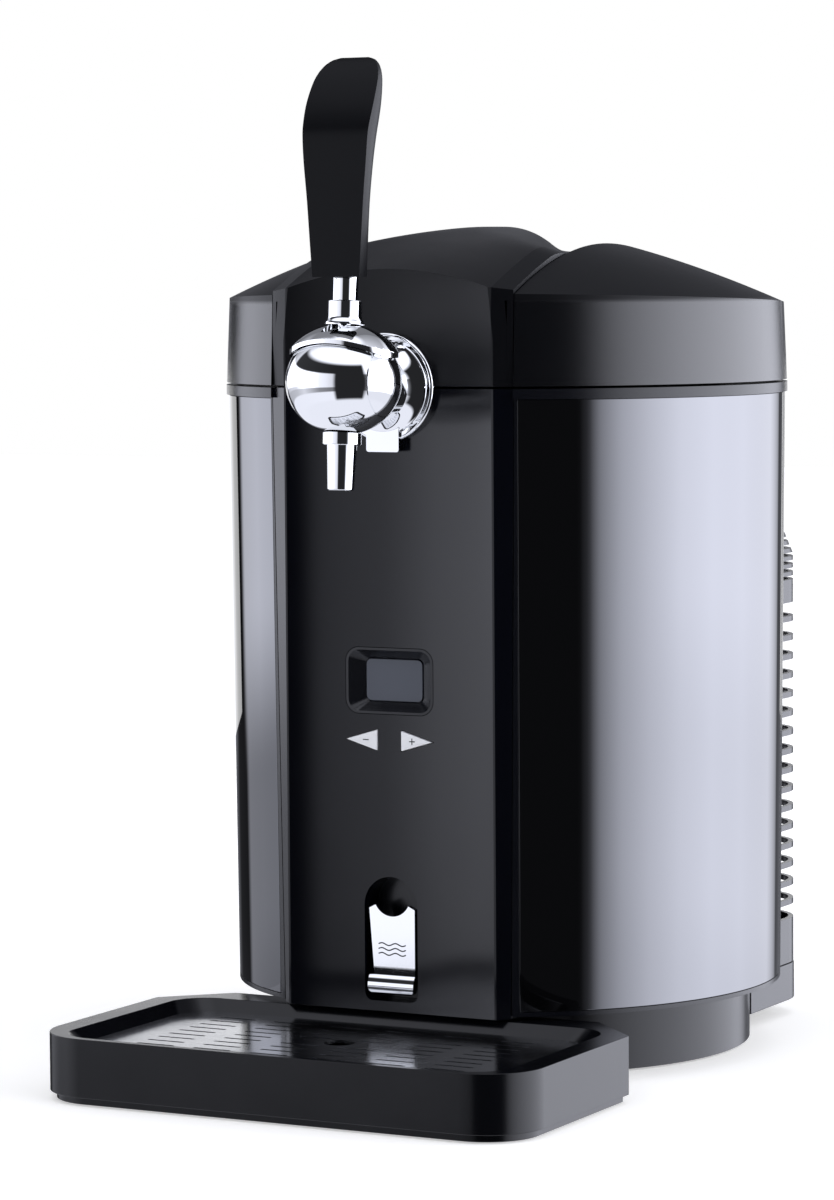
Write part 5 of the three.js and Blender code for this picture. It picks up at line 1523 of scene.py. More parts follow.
    def build(self, shop: Workshop) -> None:
        """Makes and places the lid's pieces.

        Args:
            shop: places the pieces.
        """
        shop.place(self.shell().softened(0.7, 3, 25), "lid_shell", GRAIN_BLACK, smooth=25)
        shop.place(self.cover().softened(0.7, 3, 18), "lid_centre_cover", STRIP_BLACK, smooth=18)
        for name, finish, width in (("lid_inner_pan", GRAIN_BLACK, 0.6), ("lid_gasket", RUBBER, 0.4),
                                    ("hinge_bracket", SATIN_BLACK, 0.5),
                                    ("lid_hinge_arm", SATIN_BLACK, 0.5), ("hinge_pin", STEEL, 0.3)):
            shop.copy(name, finish, width)


@dataclass
class Cooling:
    """The keg chamber and the cooler behind it."""

    drum: DrumSize
    cup_radius: float = 89.0
    cup_wall: float = 1.5
    cup_floor: float = 50.0
    cup_corner: float = 6.0
    rim_radius: float = 96.5
    rim_thickness: float = 2.3
    drain_radius: float = 3.2
    drain_front: float = -92.0
    drain_back: float = -40.0
    drain_z: float = 55.0
    fin_count: int = 13
    fin_thickness: float = 1.6
    fin_depth: float = 11.0
    sink_plate: float = 5.0
    sink_half: float = 56.0
    sink_back: float = 115.0
    sink_low: float = 87.0
    sink_high: float = 203.0

    def chamber(self) -> Solid:
        """The aluminium cup with a rounded floor corner.

        Returns:
            The cup with its drain hole.
        """
        outer, rim_low = self.cup_radius + self.cup_wall, self.drum.deck_top - self.rim_thickness
        low, round_off = self.cup_floor - self.cup_wall, self.cup_corner
        corner = [(self.cup_radius - round_off + round_off * math.sin(a),
                   self.cup_floor + round_off - round_off * math.cos(a)) for a in spread(0, math.pi / 2, 8)]
        cup = Solid.turned([(0, low), (outer, low), (outer, rim_low), (self.rim_radius, rim_low),
                            (self.rim_radius, self.drum.deck_top),
                            (self.cup_radius, self.drum.deck_top)] + corner[::-1]
                           + [(0, self.cup_floor)], 192)
        drain = Solid.rod(self.drain_radius, self.drain_front, self.drain_back, Axis.Y, 32)
        return cup.cut(drain.moved(z=self.drain_z), self.drum.shank_pass())

    def sink(self) -> Solid:
        """The heat sink: a plate with a row of fins.

        Returns:
            The sink.
        """
        half, back, low, high = self.sink_half, self.sink_back, self.sink_low, self.sink_high
        plate = Solid.box((-half, back - self.sink_plate, low), (half, back, high))
        first = -half + self.fin_thickness / 2
        fins = row_of_bars("heat_sink_fins", (self.fin_thickness, self.fin_depth + OVERRUN, high - low),
                           (first, back + (self.fin_depth - OVERRUN) / 2, (low + high) / 2),
                           (-2 * first / (self.fin_count - 1), 0, 0), self.fin_count, ALUMINIUM)
        return plate.join(fins)

    def build(self, shop: Workshop) -> None:
        """Makes and places the cooler's pieces.

        Args:
            shop: places the pieces.
        """
        shop.place(self.chamber().softened(0.4), "keg_chamber", ALUMINIUM)
        shop.place(self.sink().softened(0.15, 1), "heat_sink", ALUMINIUM)
        for name, finish, width in (("fan_frame", SOFT_BLACK, 0.4), ("fan_rotor", SOFT_BLACK, 0.2),
                                    ("cold_block", ALUMINIUM, 0.4), ("thermoelectric_module", CERAMIC, 0.2),
                                    ("power_board", BOARD, 0.2)):
            shop.copy(name, finish, width)
        shop.paint("foam_jacket", FOAM)


@dataclass
class RearHousing:
    """The louvred housing of the cooler and the foot under it."""

    drum: DrumSize
    half: float = 99.0
    front: float = 60.0
    back: float = 146.9
    corner: float = 28.0
    wall: float = 2.5
    low: float = 27.3
    shoulder: float = 235.0
    high: float = 271.0
    top_half: float = 90.0
    top_back: float = 131.0
    gap_inner: float = 62.0
    gap_front: float = 100.0
    pitch: float = 9.6
    gap: float = 6.8
    first: float = 50.0
    count: int = 17
    fine_pitch: float = 3.9
    fine_gap: float = 1.9
    fine_first: float = 222.0
    fine_count: int = 9
    fan_z: float = 145.0
    fan_reach: float = 44.0
    grille_depth: float = 8.0
    inlet_half: float = 15.3
    inlet_rise: float = 10.3
    inlet_corner: float = 3.0
    inlet_depth: float = 4.0
    inlet_x: float = -42.0
    inlet_z: float = 52.0
    foot_inset: float = 0.6
    foot_front: float = 69.0
    foot_low: float = 8.3
    foot_high: float = 27.0
    steps: int = 16

    def plan(self, half: float, front: float, back: float, corner: float) -> Outline:
        """A plan about the middle line whose rear corners are rounded."""
        return rounded([(-half, front, 0), (half, front, 0), (half, back, corner),
                        (-half, back, corner)], self.steps)

    def body(self, inset: float, low: float, high: float) -> Solid:
        """The housing's outside or inside as a solid.

        Args:
            inset: how far it lies inside the housing's surface.
            low: its lower end.
            high: its upper end.

        Returns:
            The solid.
        """
        wide, narrow = (self.plan(half - inset, self.front, back - inset, self.corner - inset)
                        for half, back in ((self.half, self.back), (self.top_half, self.top_back)))
        levels = ((wide, low), (wide, self.shoulder - inset / 2), (narrow, high))
        return Solid.loft([[(x, y, z) for x, y in line] for line, z in levels])

    def gaps(self, name: str, first: float, pitch: float, height: float, count: int) -> Solid:
        """One side's louvre gaps as a cutter.

        Args:
            name: the name of its tree.
            first: the lowest gap's lower edge.
            pitch: the step from one gap to the next.
            height: each gap's height.
            count: the number of gaps.

        Returns:
            The cutter.
        """
        width = self.half + OVERRUN - self.gap_inner
        depth = self.back + OVERRUN - self.gap_front
        centre = (self.gap_inner + width / 2, self.gap_front + depth / 2, first + height / 2)
        return row_of_bars(name, (width, depth, height), centre, (0, 0, pitch), count, SATIN_BLACK)

    def housing(self) -> Solid:
        """The housing with its louvres, grille and inlet opening.

        Returns:
            The housing.
        """
        low, high, fit = self.low - OVERRUN, self.high + OVERRUN, self.drum.fit
        inside = self.body(self.wall, self.low + self.wall, self.high - self.wall)
        drum = Solid.turned([(0, low), (self.drum.bottom_radius + fit, low),
                             (self.drum.radius(self.high) + fit, high), (0, high)], 240)
        coarse = self.gaps("louvre_gaps", self.first, self.pitch, self.gap, self.count)
        fine = self.gaps("fine_louvre_gaps", self.fine_first, self.fine_pitch, self.fine_gap,
                         self.fine_count)
        rows = [self.first + i * self.pitch for i in range(self.count)]
        reach = self.fan_reach + self.pitch
        rows = [z for z in rows if abs(z + self.gap / 2 - self.fan_z) < reach]
        grille = row_of_bars("fan_grille_gaps", (2 * self.fan_reach, self.grille_depth, self.gap),
                             (0, self.back, rows[0] + self.gap / 2), (0, 0, self.pitch),
                             len(rows), SATIN_BLACK)
        inlet = Solid.forward(rectangle(self.inlet_half, -self.inlet_rise, self.inlet_rise,
                                        self.inlet_corner), self.back - self.inlet_depth,
                              self.back + OVERRUN).moved(self.inlet_x, 0, self.inlet_z)
        shell = self.body(0, self.low, self.high).cut(inside, drum)
        return shell.cut(coarse, coarse.mirrored(), fine, fine.mirrored(), grille, inlet)

    def foot(self) -> Solid:
        """The rear foot, cut round the base foot.

        Returns:
            The foot.
        """
        slab = Solid.upright(self.plan(self.half + self.foot_inset, self.foot_front,
                                       self.back - self.foot_inset, self.corner),
                             self.foot_low, self.foot_high)
        hole = Solid.rod(self.drum.foot_radius + self.drum.fit, 0, 40, Axis.Z, 192)
        return slab.cut(hole.moved(y=self.drum.foot_shift))

    def build(self, shop: Workshop) -> None:
        """Makes and places the housing's pieces.

        Args:
            shop: places the pieces.
        """
        shop.place(self.housing().softened(0.3, 1), "rear_housing", SATIN_BLACK)
        shop.place(self.foot().softened(0.8, 3), "rear_foot", SATIN_BLACK)
        shop.copy("power_inlet", SOFT_BLACK, 0.4)


@dataclass
class Tap:
    """The chrome tap with its lever, and the fittings over the keg.

    The ball, bonnet, nozzle and stem are made about the lever's pivot, which lies the distance
    before the drum's axis; edges and heights without a note are measured from there.
    """

    drum: DrumSize
    distance: float = 166.0
    ball_z: float = 329.8
    lean: float = 3.8
    ball_radius: float = 24.1
    ball_half: float = 27.3
    ball_drop: float = 1.7
    ball_gap: float = 0.3
    seam_half: float = 20.4
    seam_reach: float = 24.0
    seam_width: float = 0.8
    seam_depth: float = 0.5
    hollow_radius: float = 15.5
    well_radius: float = 14.5
    well_top: float = 27.0
    neck_radius: float = 12.5
    neck_start: float = 12.0
    shank_radius: float = 8.3
    shank_seat: float = 22.7
    pass_radius: float = 5.6
    outlet_radius: float = 4.4
    outlet_low: float = -28.0
    pin_radius: float = 2.25
    pin_half: float = 18.8
    flange_radius: float = 25.5
    flange_front: float = -133.1
    rim_depth: float = 1.9
    rim_rounding: float = 1.6
    rim_rise: float = 1.5
    step_radius: float = 22.4
    dome_radius: float = 21.9
    dome_top: float = 15.5
    dome_depth: float = 4.4
    dome_fullness: float = 1.4
    lug_half: float = 8.5
    lug_low: float = 294.8
    lug_corner: float = 1.25
    lug_depth: float = 5.0
    bonnet_proud: float = 2.7
    bonnet_top: float = 30.0
    edge_z: float = 15.0
    edge_proud: float = 1.4
    edge_half: float = 26.0
    edge_arch: float = 60.0
    arch_reach: float = 32.0
    slot_half: float = 4.2
    slot_front: float = 15.0
    nozzle_low: float = -51.0
    nozzle_high: float = -19.5
    nozzle_tip: float = 6.2
    nozzle_foot: float = 6.9
    tip_edge: Pair = (0.5, 0.6)
    collar_radius: float = 8.9
    collar_low: float = -30.4
    collar_edge: Pair = (0.4, 0.5)
    nozzle_gap: float = 0.5
    stem_sweep: float = 44.5
    flare_radius: float = 9.0
    flare_rows: tuple[Pair, ...] = ((0, -2), (0, -0.5), (0.5, 0.1), (1.05, 1.1))
    flare_top: float = 28.0
    stem_radius: float = 7.75
    stem_top: float = 35.3
    stem_edge: float = 0.4
    spigot_radius: float = 5.8
    spigot_top: float = 50.0
    tongue_radius: float = 3.4
    tongue_low: float = -5.5
    hub_radius: float = 4.0
    toe_half: float = 2.5
    toe_back: float = 3.8
    toe_low: float = -9.0
    toe_high: float = -4.5
    widest: float = 34.8
    thickest: float = 19.0
    roundness: float = 2.8
    handle_front: float = -172.8
    handle_set: float = 21.0
    handle_low: float = 375.8
    handle_height: float = 99.6
    handle_play: float = 0.3
    handle_row_shares: tuple[tuple[float, float, float, float], ...] = (
        (0, 0.695, 0, 0.82), (0.16, 0.76, 0, 0.79), (0.35, 0.835, 0, 0.79),
        (0.53, 0.925, 0, 0.87), (0.655, 0.97, 0.03, 1), (0.72, 0.99, 0.12, 0.99),
        (0.785, 1, 0.25, 0.9), (0.85, 0.98, 0.41, 0.76), (0.91, 0.93, 0.58, 0.58),
        (0.96, 0.8, 0.75, 0.4), (0.99, 0.6, 0.88, 0.26), (1, 0.4, 0.95, 0.17))
    handle_even_share: float = 0.96
    handle_top_shares: tuple[float, ...] = (0.972, 0.982, 0.99, 0.996, 1.0)
    knob_radius: float = 10.0
    knob_low: float = 359.3
    knob_high: float = 366.8
    grip_count: int = 8
    grip_radius: float = 1.2
    grip_length: float = 12.0
    grip_z: float = 363.0
    egg_steps: int = 56

    def at_ball(self, solid: Solid, leaning: bool = True) -> Solid:
        """Moves a solid from the ball's own frame to its place, leaning back if asked."""
        turn = self.leaned() if leaning else Matrix()
        return solid.turned_by(Matrix.Translation((0, -self.distance, self.ball_z)) @ turn)

    def leaned(self) -> Matrix:
        """The turn by which the tap leans back."""
        return Matrix.Rotation(-math.radians(self.lean), 4, "X")

    def flange(self) -> Solid:
        """The round flange with its lug.

        Returns:
            The flange with the shank's bore.
        """
        face, steps = self.drum.face, spread(0, math.pi / 2, 10)
        flat = self.flange_radius - self.rim_rounding
        rise = face - self.dome_depth - self.flange_front
        rim = [(flat + self.rim_rounding * math.cos(a),
                face - self.rim_depth - self.rim_rise * math.sin(a)) for a in steps]
        dome = [(self.dome_top + (self.dome_radius - self.dome_top) * (1 - math.sin(a)),
                 face - self.dome_depth - rise * math.sin(a) ** self.dome_fullness) for a in steps[1:]]
        step = [(self.step_radius, face - self.rim_depth - self.rim_rise),
                (self.dome_radius, face - self.dome_depth)]
        disc = Solid.turned([(0, face), (self.flange_radius, face)] + rim + step + dome
                            + [(0, self.flange_front)], 96, Axis.Y)
        lug = Solid.forward(rectangle(self.lug_half, self.lug_low - self.drum.seam, 0,
                                      self.lug_corner, 8), face - self.lug_depth, face)
        bore = Solid.rod(self.shank_radius, self.drum.cut_front, face + OVERRUN, Axis.Y)
        return disc.join(lug).cut(bore).moved(z=self.drum.seam)

    def egg(self, proud: float, drop: float | None = None) -> Solid:
        """The ball's egg shape about the cross axis, in the ball's own frame.

        Args:
            proud: how far it stands out of the ball.
            drop: how far its middle lies under the pivot, or the ball's own drop.

        Returns:
            The closed egg.
        """
        radius, half = self.ball_radius + proud, self.ball_half + proud
        rows = [(radius * math.sin(a), -half * math.cos(a))
                for a in spread(0, math.pi, self.egg_steps)[1:-1]]
        egg = Solid.turned([(0, -half)] + rows + [(0, half)], 2 * self.egg_steps, Axis.X)
        return egg.moved(z=-(self.ball_drop if drop is None else drop))

    def ball(self) -> Solid:
        """The tap's body: an egg with a seam at both ends, and the neck behind it.

        Returns:
            The hollow body with its holes.
        """
        end, offset = self.distance + self.flange_front - self.ball_gap, self.drum.seam - self.ball_z
        rim = self.ball_radius * math.sqrt(1 - (self.seam_half / self.ball_half) ** 2)
        bottom, left, right = rim - self.seam_depth, self.seam_half, self.seam_half + self.seam_width
        seam = Solid.turned([(bottom, left), (self.seam_reach, left), (self.seam_reach, right),
                             (bottom, right), (bottom, left)], 2 * self.egg_steps, Axis.X)
        seam = seam.moved(z=-self.ball_drop)
        hollow = Solid.turned([(self.hollow_radius * math.sin(a), -self.hollow_radius * math.cos(a))
                               for a in spread(0, math.pi, 24)], 48, Axis.Y)
        outlet = Solid.rod(self.outlet_radius, self.outlet_low, 0, Axis.Z, 32)
        neck, passage, seat = (
            Solid.rod(radius, start, stop, Axis.Y, steps).moved(z=offset)
            for radius, start, stop, steps in (
                (self.neck_radius, self.neck_start, end, 96), (self.pass_radius, 0, end + OVERRUN, 48),
                (self.shank_radius, self.shank_seat, end + OVERRUN, 48)))
        return self.egg(0).join(neck).cut(
            seam, seam.mirrored(), hollow, Solid.rod(self.well_radius, 0, self.well_top, Axis.Z, 48),
            passage, seat, outlet.turned_by(self.leaned()),
            Solid.rod(self.pin_radius, -self.pin_half, self.pin_half, Axis.X, 32))

    def bonnet(self) -> Solid:
        """The cap over the ball, with an arched lower edge and a slot for the lever.

        Returns:
            The cap.
        """
        radius, half = self.ball_radius + self.edge_proud, self.ball_half + self.edge_proud
        arch, top, wide = self.edge_arch, self.bonnet_top, self.arch_reach
        edge = [(x, self.edge_z - arch + math.sqrt(arch ** 2 - x * x))
                for x in spread(-self.edge_half, self.edge_half, 40)]
        front = []
        for x, z in edge:
            reach = 1 - (x / half) ** 2 - ((z + self.ball_drop) / radius) ** 2
            front.append((x, -radius * math.sqrt(max(0, reach))))
        wall = Solid.upright(front + [(x, -y) for x, y in front[-2:0:-1]], 0, top)
        below = Solid.forward([(-wide, -top), (wide, -top)] + edge[::-1], -2 * top, 2 * top)
        slot = Solid.box((-self.slot_half, -self.slot_front, 0), (self.slot_half, self.slot_half, top))
        return wall.common(self.egg(self.bonnet_proud)).cut(below, self.egg(self.ball_gap), slot)

    def nozzle(self) -> Solid:
        """The nozzle with its collar.

        Returns:
            The bored nozzle, cut to the ball.
        """
        low, high, collar = self.nozzle_low, self.nozzle_high, self.collar_low
        tip, edge = self.tip_edge, self.collar_edge
        body = Solid.turned([(0, low), (self.nozzle_tip - tip[0], low),
                             (self.nozzle_tip, low + tip[1]), (self.nozzle_foot, collar),
                             (self.collar_radius - edge[0], collar),
                             (self.collar_radius, collar + edge[1]), (self.collar_radius, high),
                             (0, high)], 96)
        bore = Solid.rod(self.outlet_radius, low - OVERRUN, high + 1.5 * OVERRUN, Axis.Z, 48)
        return body.cut(bore, self.egg(self.nozzle_gap))

    def stem(self) -> Solid:
        """The lever's stem with its flared foot, hub and toe.

        Returns:
            The stem.
        """
        swing = math.cos(math.radians(self.stem_sweep))
        base = self.ball_radius + self.bonnet_proud + self.ball_gap - self.ball_drop * swing
        flare = [(self.flare_radius - inset, base + rise) for inset, rise in self.flare_rows]
        outer = Solid.turned([(0, flare[0][1])] + flare + [
            (self.stem_radius, self.flare_top), (self.stem_radius, self.stem_top - self.stem_edge),
            (self.stem_radius - self.stem_edge, self.stem_top), (self.spigot_radius, self.stem_top),
            (self.spigot_radius, self.spigot_top), (0, self.spigot_top)], 96)
        tongue = Solid.rod(self.tongue_radius, self.tongue_low, base + OVERRUN)
        hub = Solid.rod(self.hub_radius, -self.hub_radius, self.hub_radius, Axis.X)
        toe = Solid.box((-self.toe_half, -self.toe_half, self.toe_low),
                        (self.toe_half, self.toe_back, self.toe_high))
        end = self.hub_radius + OVERRUN
        pin = Solid.rod(self.pin_radius, -end, end, Axis.X, 32)
        return outer.cut(self.egg(base - self.ball_radius, 0)).join(tongue, hub, toe).cut(pin)

    def row(self, rise: float) -> tuple[float, float, float]:
        """The handle's section at a share of its height, on a smooth curve through its rows.

        Args:
            rise: the share of the height.

        Returns:
            The width, front and depth shares.
        """
        rows = self.handle_row_shares
        i = max(j for j in range(len(rows) - 1) if rows[j][0] <= rise or j == 0)
        a, b = rows[i], rows[i + 1]
        before, after = rows[max(i - 1, 0)], rows[min(i + 2, len(rows) - 1)]
        span = b[0] - a[0]
        t = (rise - a[0]) / span
        values = []
        for k in (1, 2, 3):
            m0 = (b[k] - before[k]) / (b[0] - before[0]) * span
            m1 = (after[k] - a[k]) / (after[0] - a[0]) * span
            values.append((2 * t ** 3 - 3 * t ** 2 + 1) * a[k] + (t ** 3 - 2 * t ** 2 + t) * m0
                          + (3 * t ** 2 - 2 * t ** 3) * b[k] + (t ** 3 - t ** 2) * m1)
        return values[0], values[1], values[2]

    def handle(self) -> Solid:
        """The handle: flat in front, round behind, bent back at the top.

        Returns:
            The handle with the stem's bore.
        """
        rings = []
        for rise in spread(0, self.handle_even_share, 44) + list(self.handle_top_shares):
            width, front, depth = self.row(rise)
            reach, y0 = self.widest / 2 * width, self.handle_front + self.handle_set * front
            ring = []
            for angle in spread(0, math.pi, 56):
                c, s = math.cos(angle), math.sin(angle)
                across = math.copysign(abs(c) ** (2 / self.roundness), c)
                back = y0 + self.thickest * depth * abs(s) ** (2 / self.roundness)
                ring.append((reach * across, back, self.handle_low + self.handle_height * rise))
            rings.append(ring)
        bore = Solid.rod(self.spigot_radius + self.handle_play, 0,
                         self.spigot_top + self.handle_play, Axis.Z, 48)
        return Solid.loft(rings).cut(self.at_ball(bore))

    def knob(self) -> Solid:
        """The regulator's knob with its finger grips.

        Returns:
            The knob.
        """
        tree = NodeTree("knob_grips")
        count = tree.number("Grips", self.grip_count, True)
        ring = tree.node("GeometryNodeMeshCircle", Vertices=count,
                         Radius=tree.number("Knob radius", self.knob_radius))
        post = tree.node("GeometryNodeMeshCylinder", Vertices=24, Depth=self.grip_length,
                         Radius=tree.number("Grip radius", self.grip_radius))
        cutters = tree.run(tree.copies(ring, post), SOFT_BLACK).moved(z=self.grip_z)
        return Solid.rod(self.knob_radius, self.knob_low, self.knob_high).cut(cutters)

    def build(self, shop: Workshop) -> None:
        """Makes and places the tap's pieces.

        Args:
            shop: places the pieces.
        """
        for solid, name, width in ((self.flange(), "tap_flange", 0.25),
                                   (self.at_ball(self.ball(), False), "tap_ball", 0.25),
                                   (self.at_ball(self.bonnet()), "tap_bonnet", 0.2),
                                   (self.at_ball(self.nozzle()), "tap_nozzle", 0.2),
                                   (self.at_ball(self.stem()), "lever_stem", 0.25)):
            shop.place(solid.softened(width, 2, 40), name, CHROME, smooth=40)
        shop.place(self.handle().softened(0.8, 3, 48), "tap_handle", HANDLE_BLACK, smooth=40)
        shop.place(self.knob().softened(0.3), "regulator_knob", SOFT_BLACK)
        for name, finish in (("lever_pin", CHROME), ("tap_shank", STEEL), ("valve_plunger", STEEL),
                             ("keg_coupler", SOFT_BLACK), ("gas_regulator", BRASS),
                             ("gas_cartridge_sleeve", ALUMINIUM)):
            shop.copy(name, finish, 0.4)


@dataclass
class DripTray:
    """The drip tray and the slotted plate in it. Distances are measured forward of the axis."""

    half: float = 125.0
    front: float = 245.1
    corner: float = 28.0
    back: float = 102.1
    back_half: float = 97.0
    bend_shift: float = 0.6
    low: float = 4.0
    top: float = 31.1
    plinth_low: float = 0.5
    plinth_inset: float = 3.0
    rim: float = 1.5
    rim_slope: float = 6.4
    plate_half: float = 107.0
    plate_front: float = 235.4
    plate_back: float = 125.4
    plate_corner: float = 18.0
    plate_z: float = 24.2
    plate_thickness: float = 1.5
    plate_play: float = 0.4
    plate_ledge: float = 5.0
    well_floor: float = 7.0
    slot_length: float = 19.5
    slot_width: float = 1.9
    slot_round_share: float = 0.49
    slot_cut: float = 4.0
    pitch_x: float = 29.8
    pitch_y: float = 9.45
    columns: int = 6
    rows: int = 9
    first_row: float = 139.0
    hole_radius: float = 7.3
    hole_distance: float = 175.2
    steps: int = 20

    def outline(self, inset: float) -> Outline:
        """The tray's plan.

        Args:
            inset: how far it is moved in.

        Returns:
            The outline's points.
        """
        reach, front, corner = self.half - inset, -self.front + inset, self.corner - inset
        rear, bend = -self.back - inset, -self.back - (self.half - self.back_half) + self.bend_shift
        return rounded([(-self.back_half, rear, 0), (-reach, bend, 0), (-reach, front, corner),
                        (reach, front, corner), (reach, bend, 0), (self.back_half, rear, 0)], self.steps)

    def plate_outline(self, margin: float) -> Outline:
        """The plate's plan, grown by a margin."""
        half, front, back = (self.plate_half + margin, -self.plate_front - margin,
                             -self.plate_back + margin)
        return rectangle(half, front, back, self.plate_corner, self.steps)

    def tray(self) -> Solid:
        """The tray on its recessed plinth, with a sloped rim round the plate.

        Returns:
            The tray.
        """
        outside = Solid.upright(self.outline(0), self.low, self.top).join(
            Solid.upright(self.outline(self.plinth_inset), self.plinth_low, self.low + OVERRUN))
        high = [(x, max(y, -self.front + self.rim)) for x, y in self.plate_outline(self.rim_slope)]
        slope = Solid.loft([[(x, y, self.plate_z) for x, y in self.plate_outline(self.plate_play)],
                            [(x, y, self.top + OVERRUN) for x, y in high]])
        well = Solid.upright(self.plate_outline(-self.plate_ledge), self.well_floor, self.plate_z + OVERRUN)
        return outside.cut(slope, well)

    def slot(self, tree: NodeTree, length: Socket, width: Socket) -> bpy.types.Node:
        """Adds one slot's cutter to a tree: a bar with round ends.

        Args:
            tree: the tree.
            length: the slot's length.
            width: the slot's width.

        Returns:
            The node with the closed bar.
        """
        flat = tree.node("GeometryNodeCurvePrimitiveQuadrilateral", {"mode": "RECTANGLE"},
                         Width=length, Height=width)
        ends = tree.node("GeometryNodeFilletCurve", {"mode": "POLY"}, Curve=flat, Count=4,
                         Radius=tree.math("MULTIPLY", width, self.slot_round_share))
        face = tree.node("GeometryNodeFillCurve", {"mode": "NGONS"}, Curve=ends)
        bar = tree.node("GeometryNodeExtrudeMesh", {"mode": "FACES"}, Mesh=face,
                        Offset=tree.vector(z=1.0), Individual=False,
                        Offset_Scale=tree.number("Cut depth", self.slot_cut))
        under = tree.node("GeometryNodeFlipFaces", Mesh=face)
        both = tree.node("GeometryNodeJoinGeometry")
        for part in (bar, under):
            tree.feed(both, _0=part)
        return tree.node("GeometryNodeMergeByDistance", Geometry=both, Distance=NEAR)

    def slots(self) -> Solid:
        """The plate's slots as cutters on a grid, left out at the hole.

        Returns:
            The cutters.
        """
        tree = NodeTree("plate_slots")
        length = tree.number("Slot length", self.slot_length)
        width = tree.number("Slot width", self.slot_width)
        depth = (self.rows - 1) * self.pitch_y
        centre_y = -self.first_row - depth / 2
        grid = tree.node("GeometryNodeMeshGrid", None,
                         Size_X=tree.number("Width", (self.columns - 1) * self.pitch_x),
                         Size_Y=tree.number("Depth", depth),
                         Vertices_X=tree.number("Columns", self.columns, True),
                         Vertices_Y=tree.number("Rows", self.rows, True))
        place = tree.node("GeometryNodeInputPosition").outputs[0]
        x, y, _ = tree.node("ShaderNodeSeparateXYZ", Vector=place).outputs
        beside = tree.math("SUBTRACT", tree.math("ABSOLUTE", x), tree.math("MULTIPLY", length, 0.5))
        beside = tree.math("MAXIMUM", beside, 0.0)
        ahead = tree.math("ADD", y, centre_y + self.hole_distance)
        gap = tree.math("SQRT", tree.math("ADD", tree.math("MULTIPLY", beside, beside),
                                          tree.math("MULTIPLY", ahead, ahead)))
        keep = tree.math("GREATER_THAN", gap,
                         tree.number("Clear of hole", self.hole_radius + self.slot_width))
        bars = tree.copies(grid, self.slot(tree, length, width), Selection=keep)
        return tree.run(bars, STEEL).moved(0, centre_y, self.plate_z - OVERRUN)

    def plate(self) -> Solid:
        """The polished plate with its slots and the round hole.

        Returns:
            The plate.
        """
        low, top = self.plate_z, self.plate_z + self.plate_thickness
        hole = Solid.rod(self.hole_radius, low - OVERRUN, top + OVERRUN)
        return Solid.upright(self.plate_outline(0), low, top).cut(
            self.slots(), hole.moved(y=-self.hole_distance))

    def build(self, shop: Workshop) -> None:
        """Makes and places the tray and its plate.

        Args:
            shop: places the pieces.
        """
        shop.place(self.tray().softened(1.0, 4, 25), "drip_tray", TRAY_BLACK, smooth=30)
        shop.place(self.plate().softened(0.25, 2), "drip_plate", STEEL)


@dataclass(frozen=True)
class SoftPanel:
    """A soft light panel at a real place, in millimetres, that the camera doesn't see.

    It stands at centre, looks at target, and its radiance is that of a white surface times glow.
    """

    name: str
    centre: tuple[float, float, float]
    target: tuple[float, float, float]
    width: float
    height: float
    glow: float

    def light_up(self) -> None:
        """Makes the panel."""
        data = bpy.data.lights.new(self.name, "AREA")
        data.shape = "RECTANGLE"
        data.size, data.size_y = self.width * MM, self.height * MM
        data.energy = self.glow * math.pi * data.size * data.size_y
        item = bpy.data.objects.new(self.name, data)
        place = Vector(self.centre) + Vector((0, ROW_SHIFT, 0))
        aim = Vector(self.target) + Vector((0, ROW_SHIFT, 0)) - place
        turn = aim.to_track_quat("-Z", "Y").to_matrix().to_4x4()
        item.matrix_world = Matrix.Translation(place * MM) @ turn
        item.visible_camera = False
        bpy.context.scene.collection.objects.link(item)


Stops = tuple[Pair, ...]


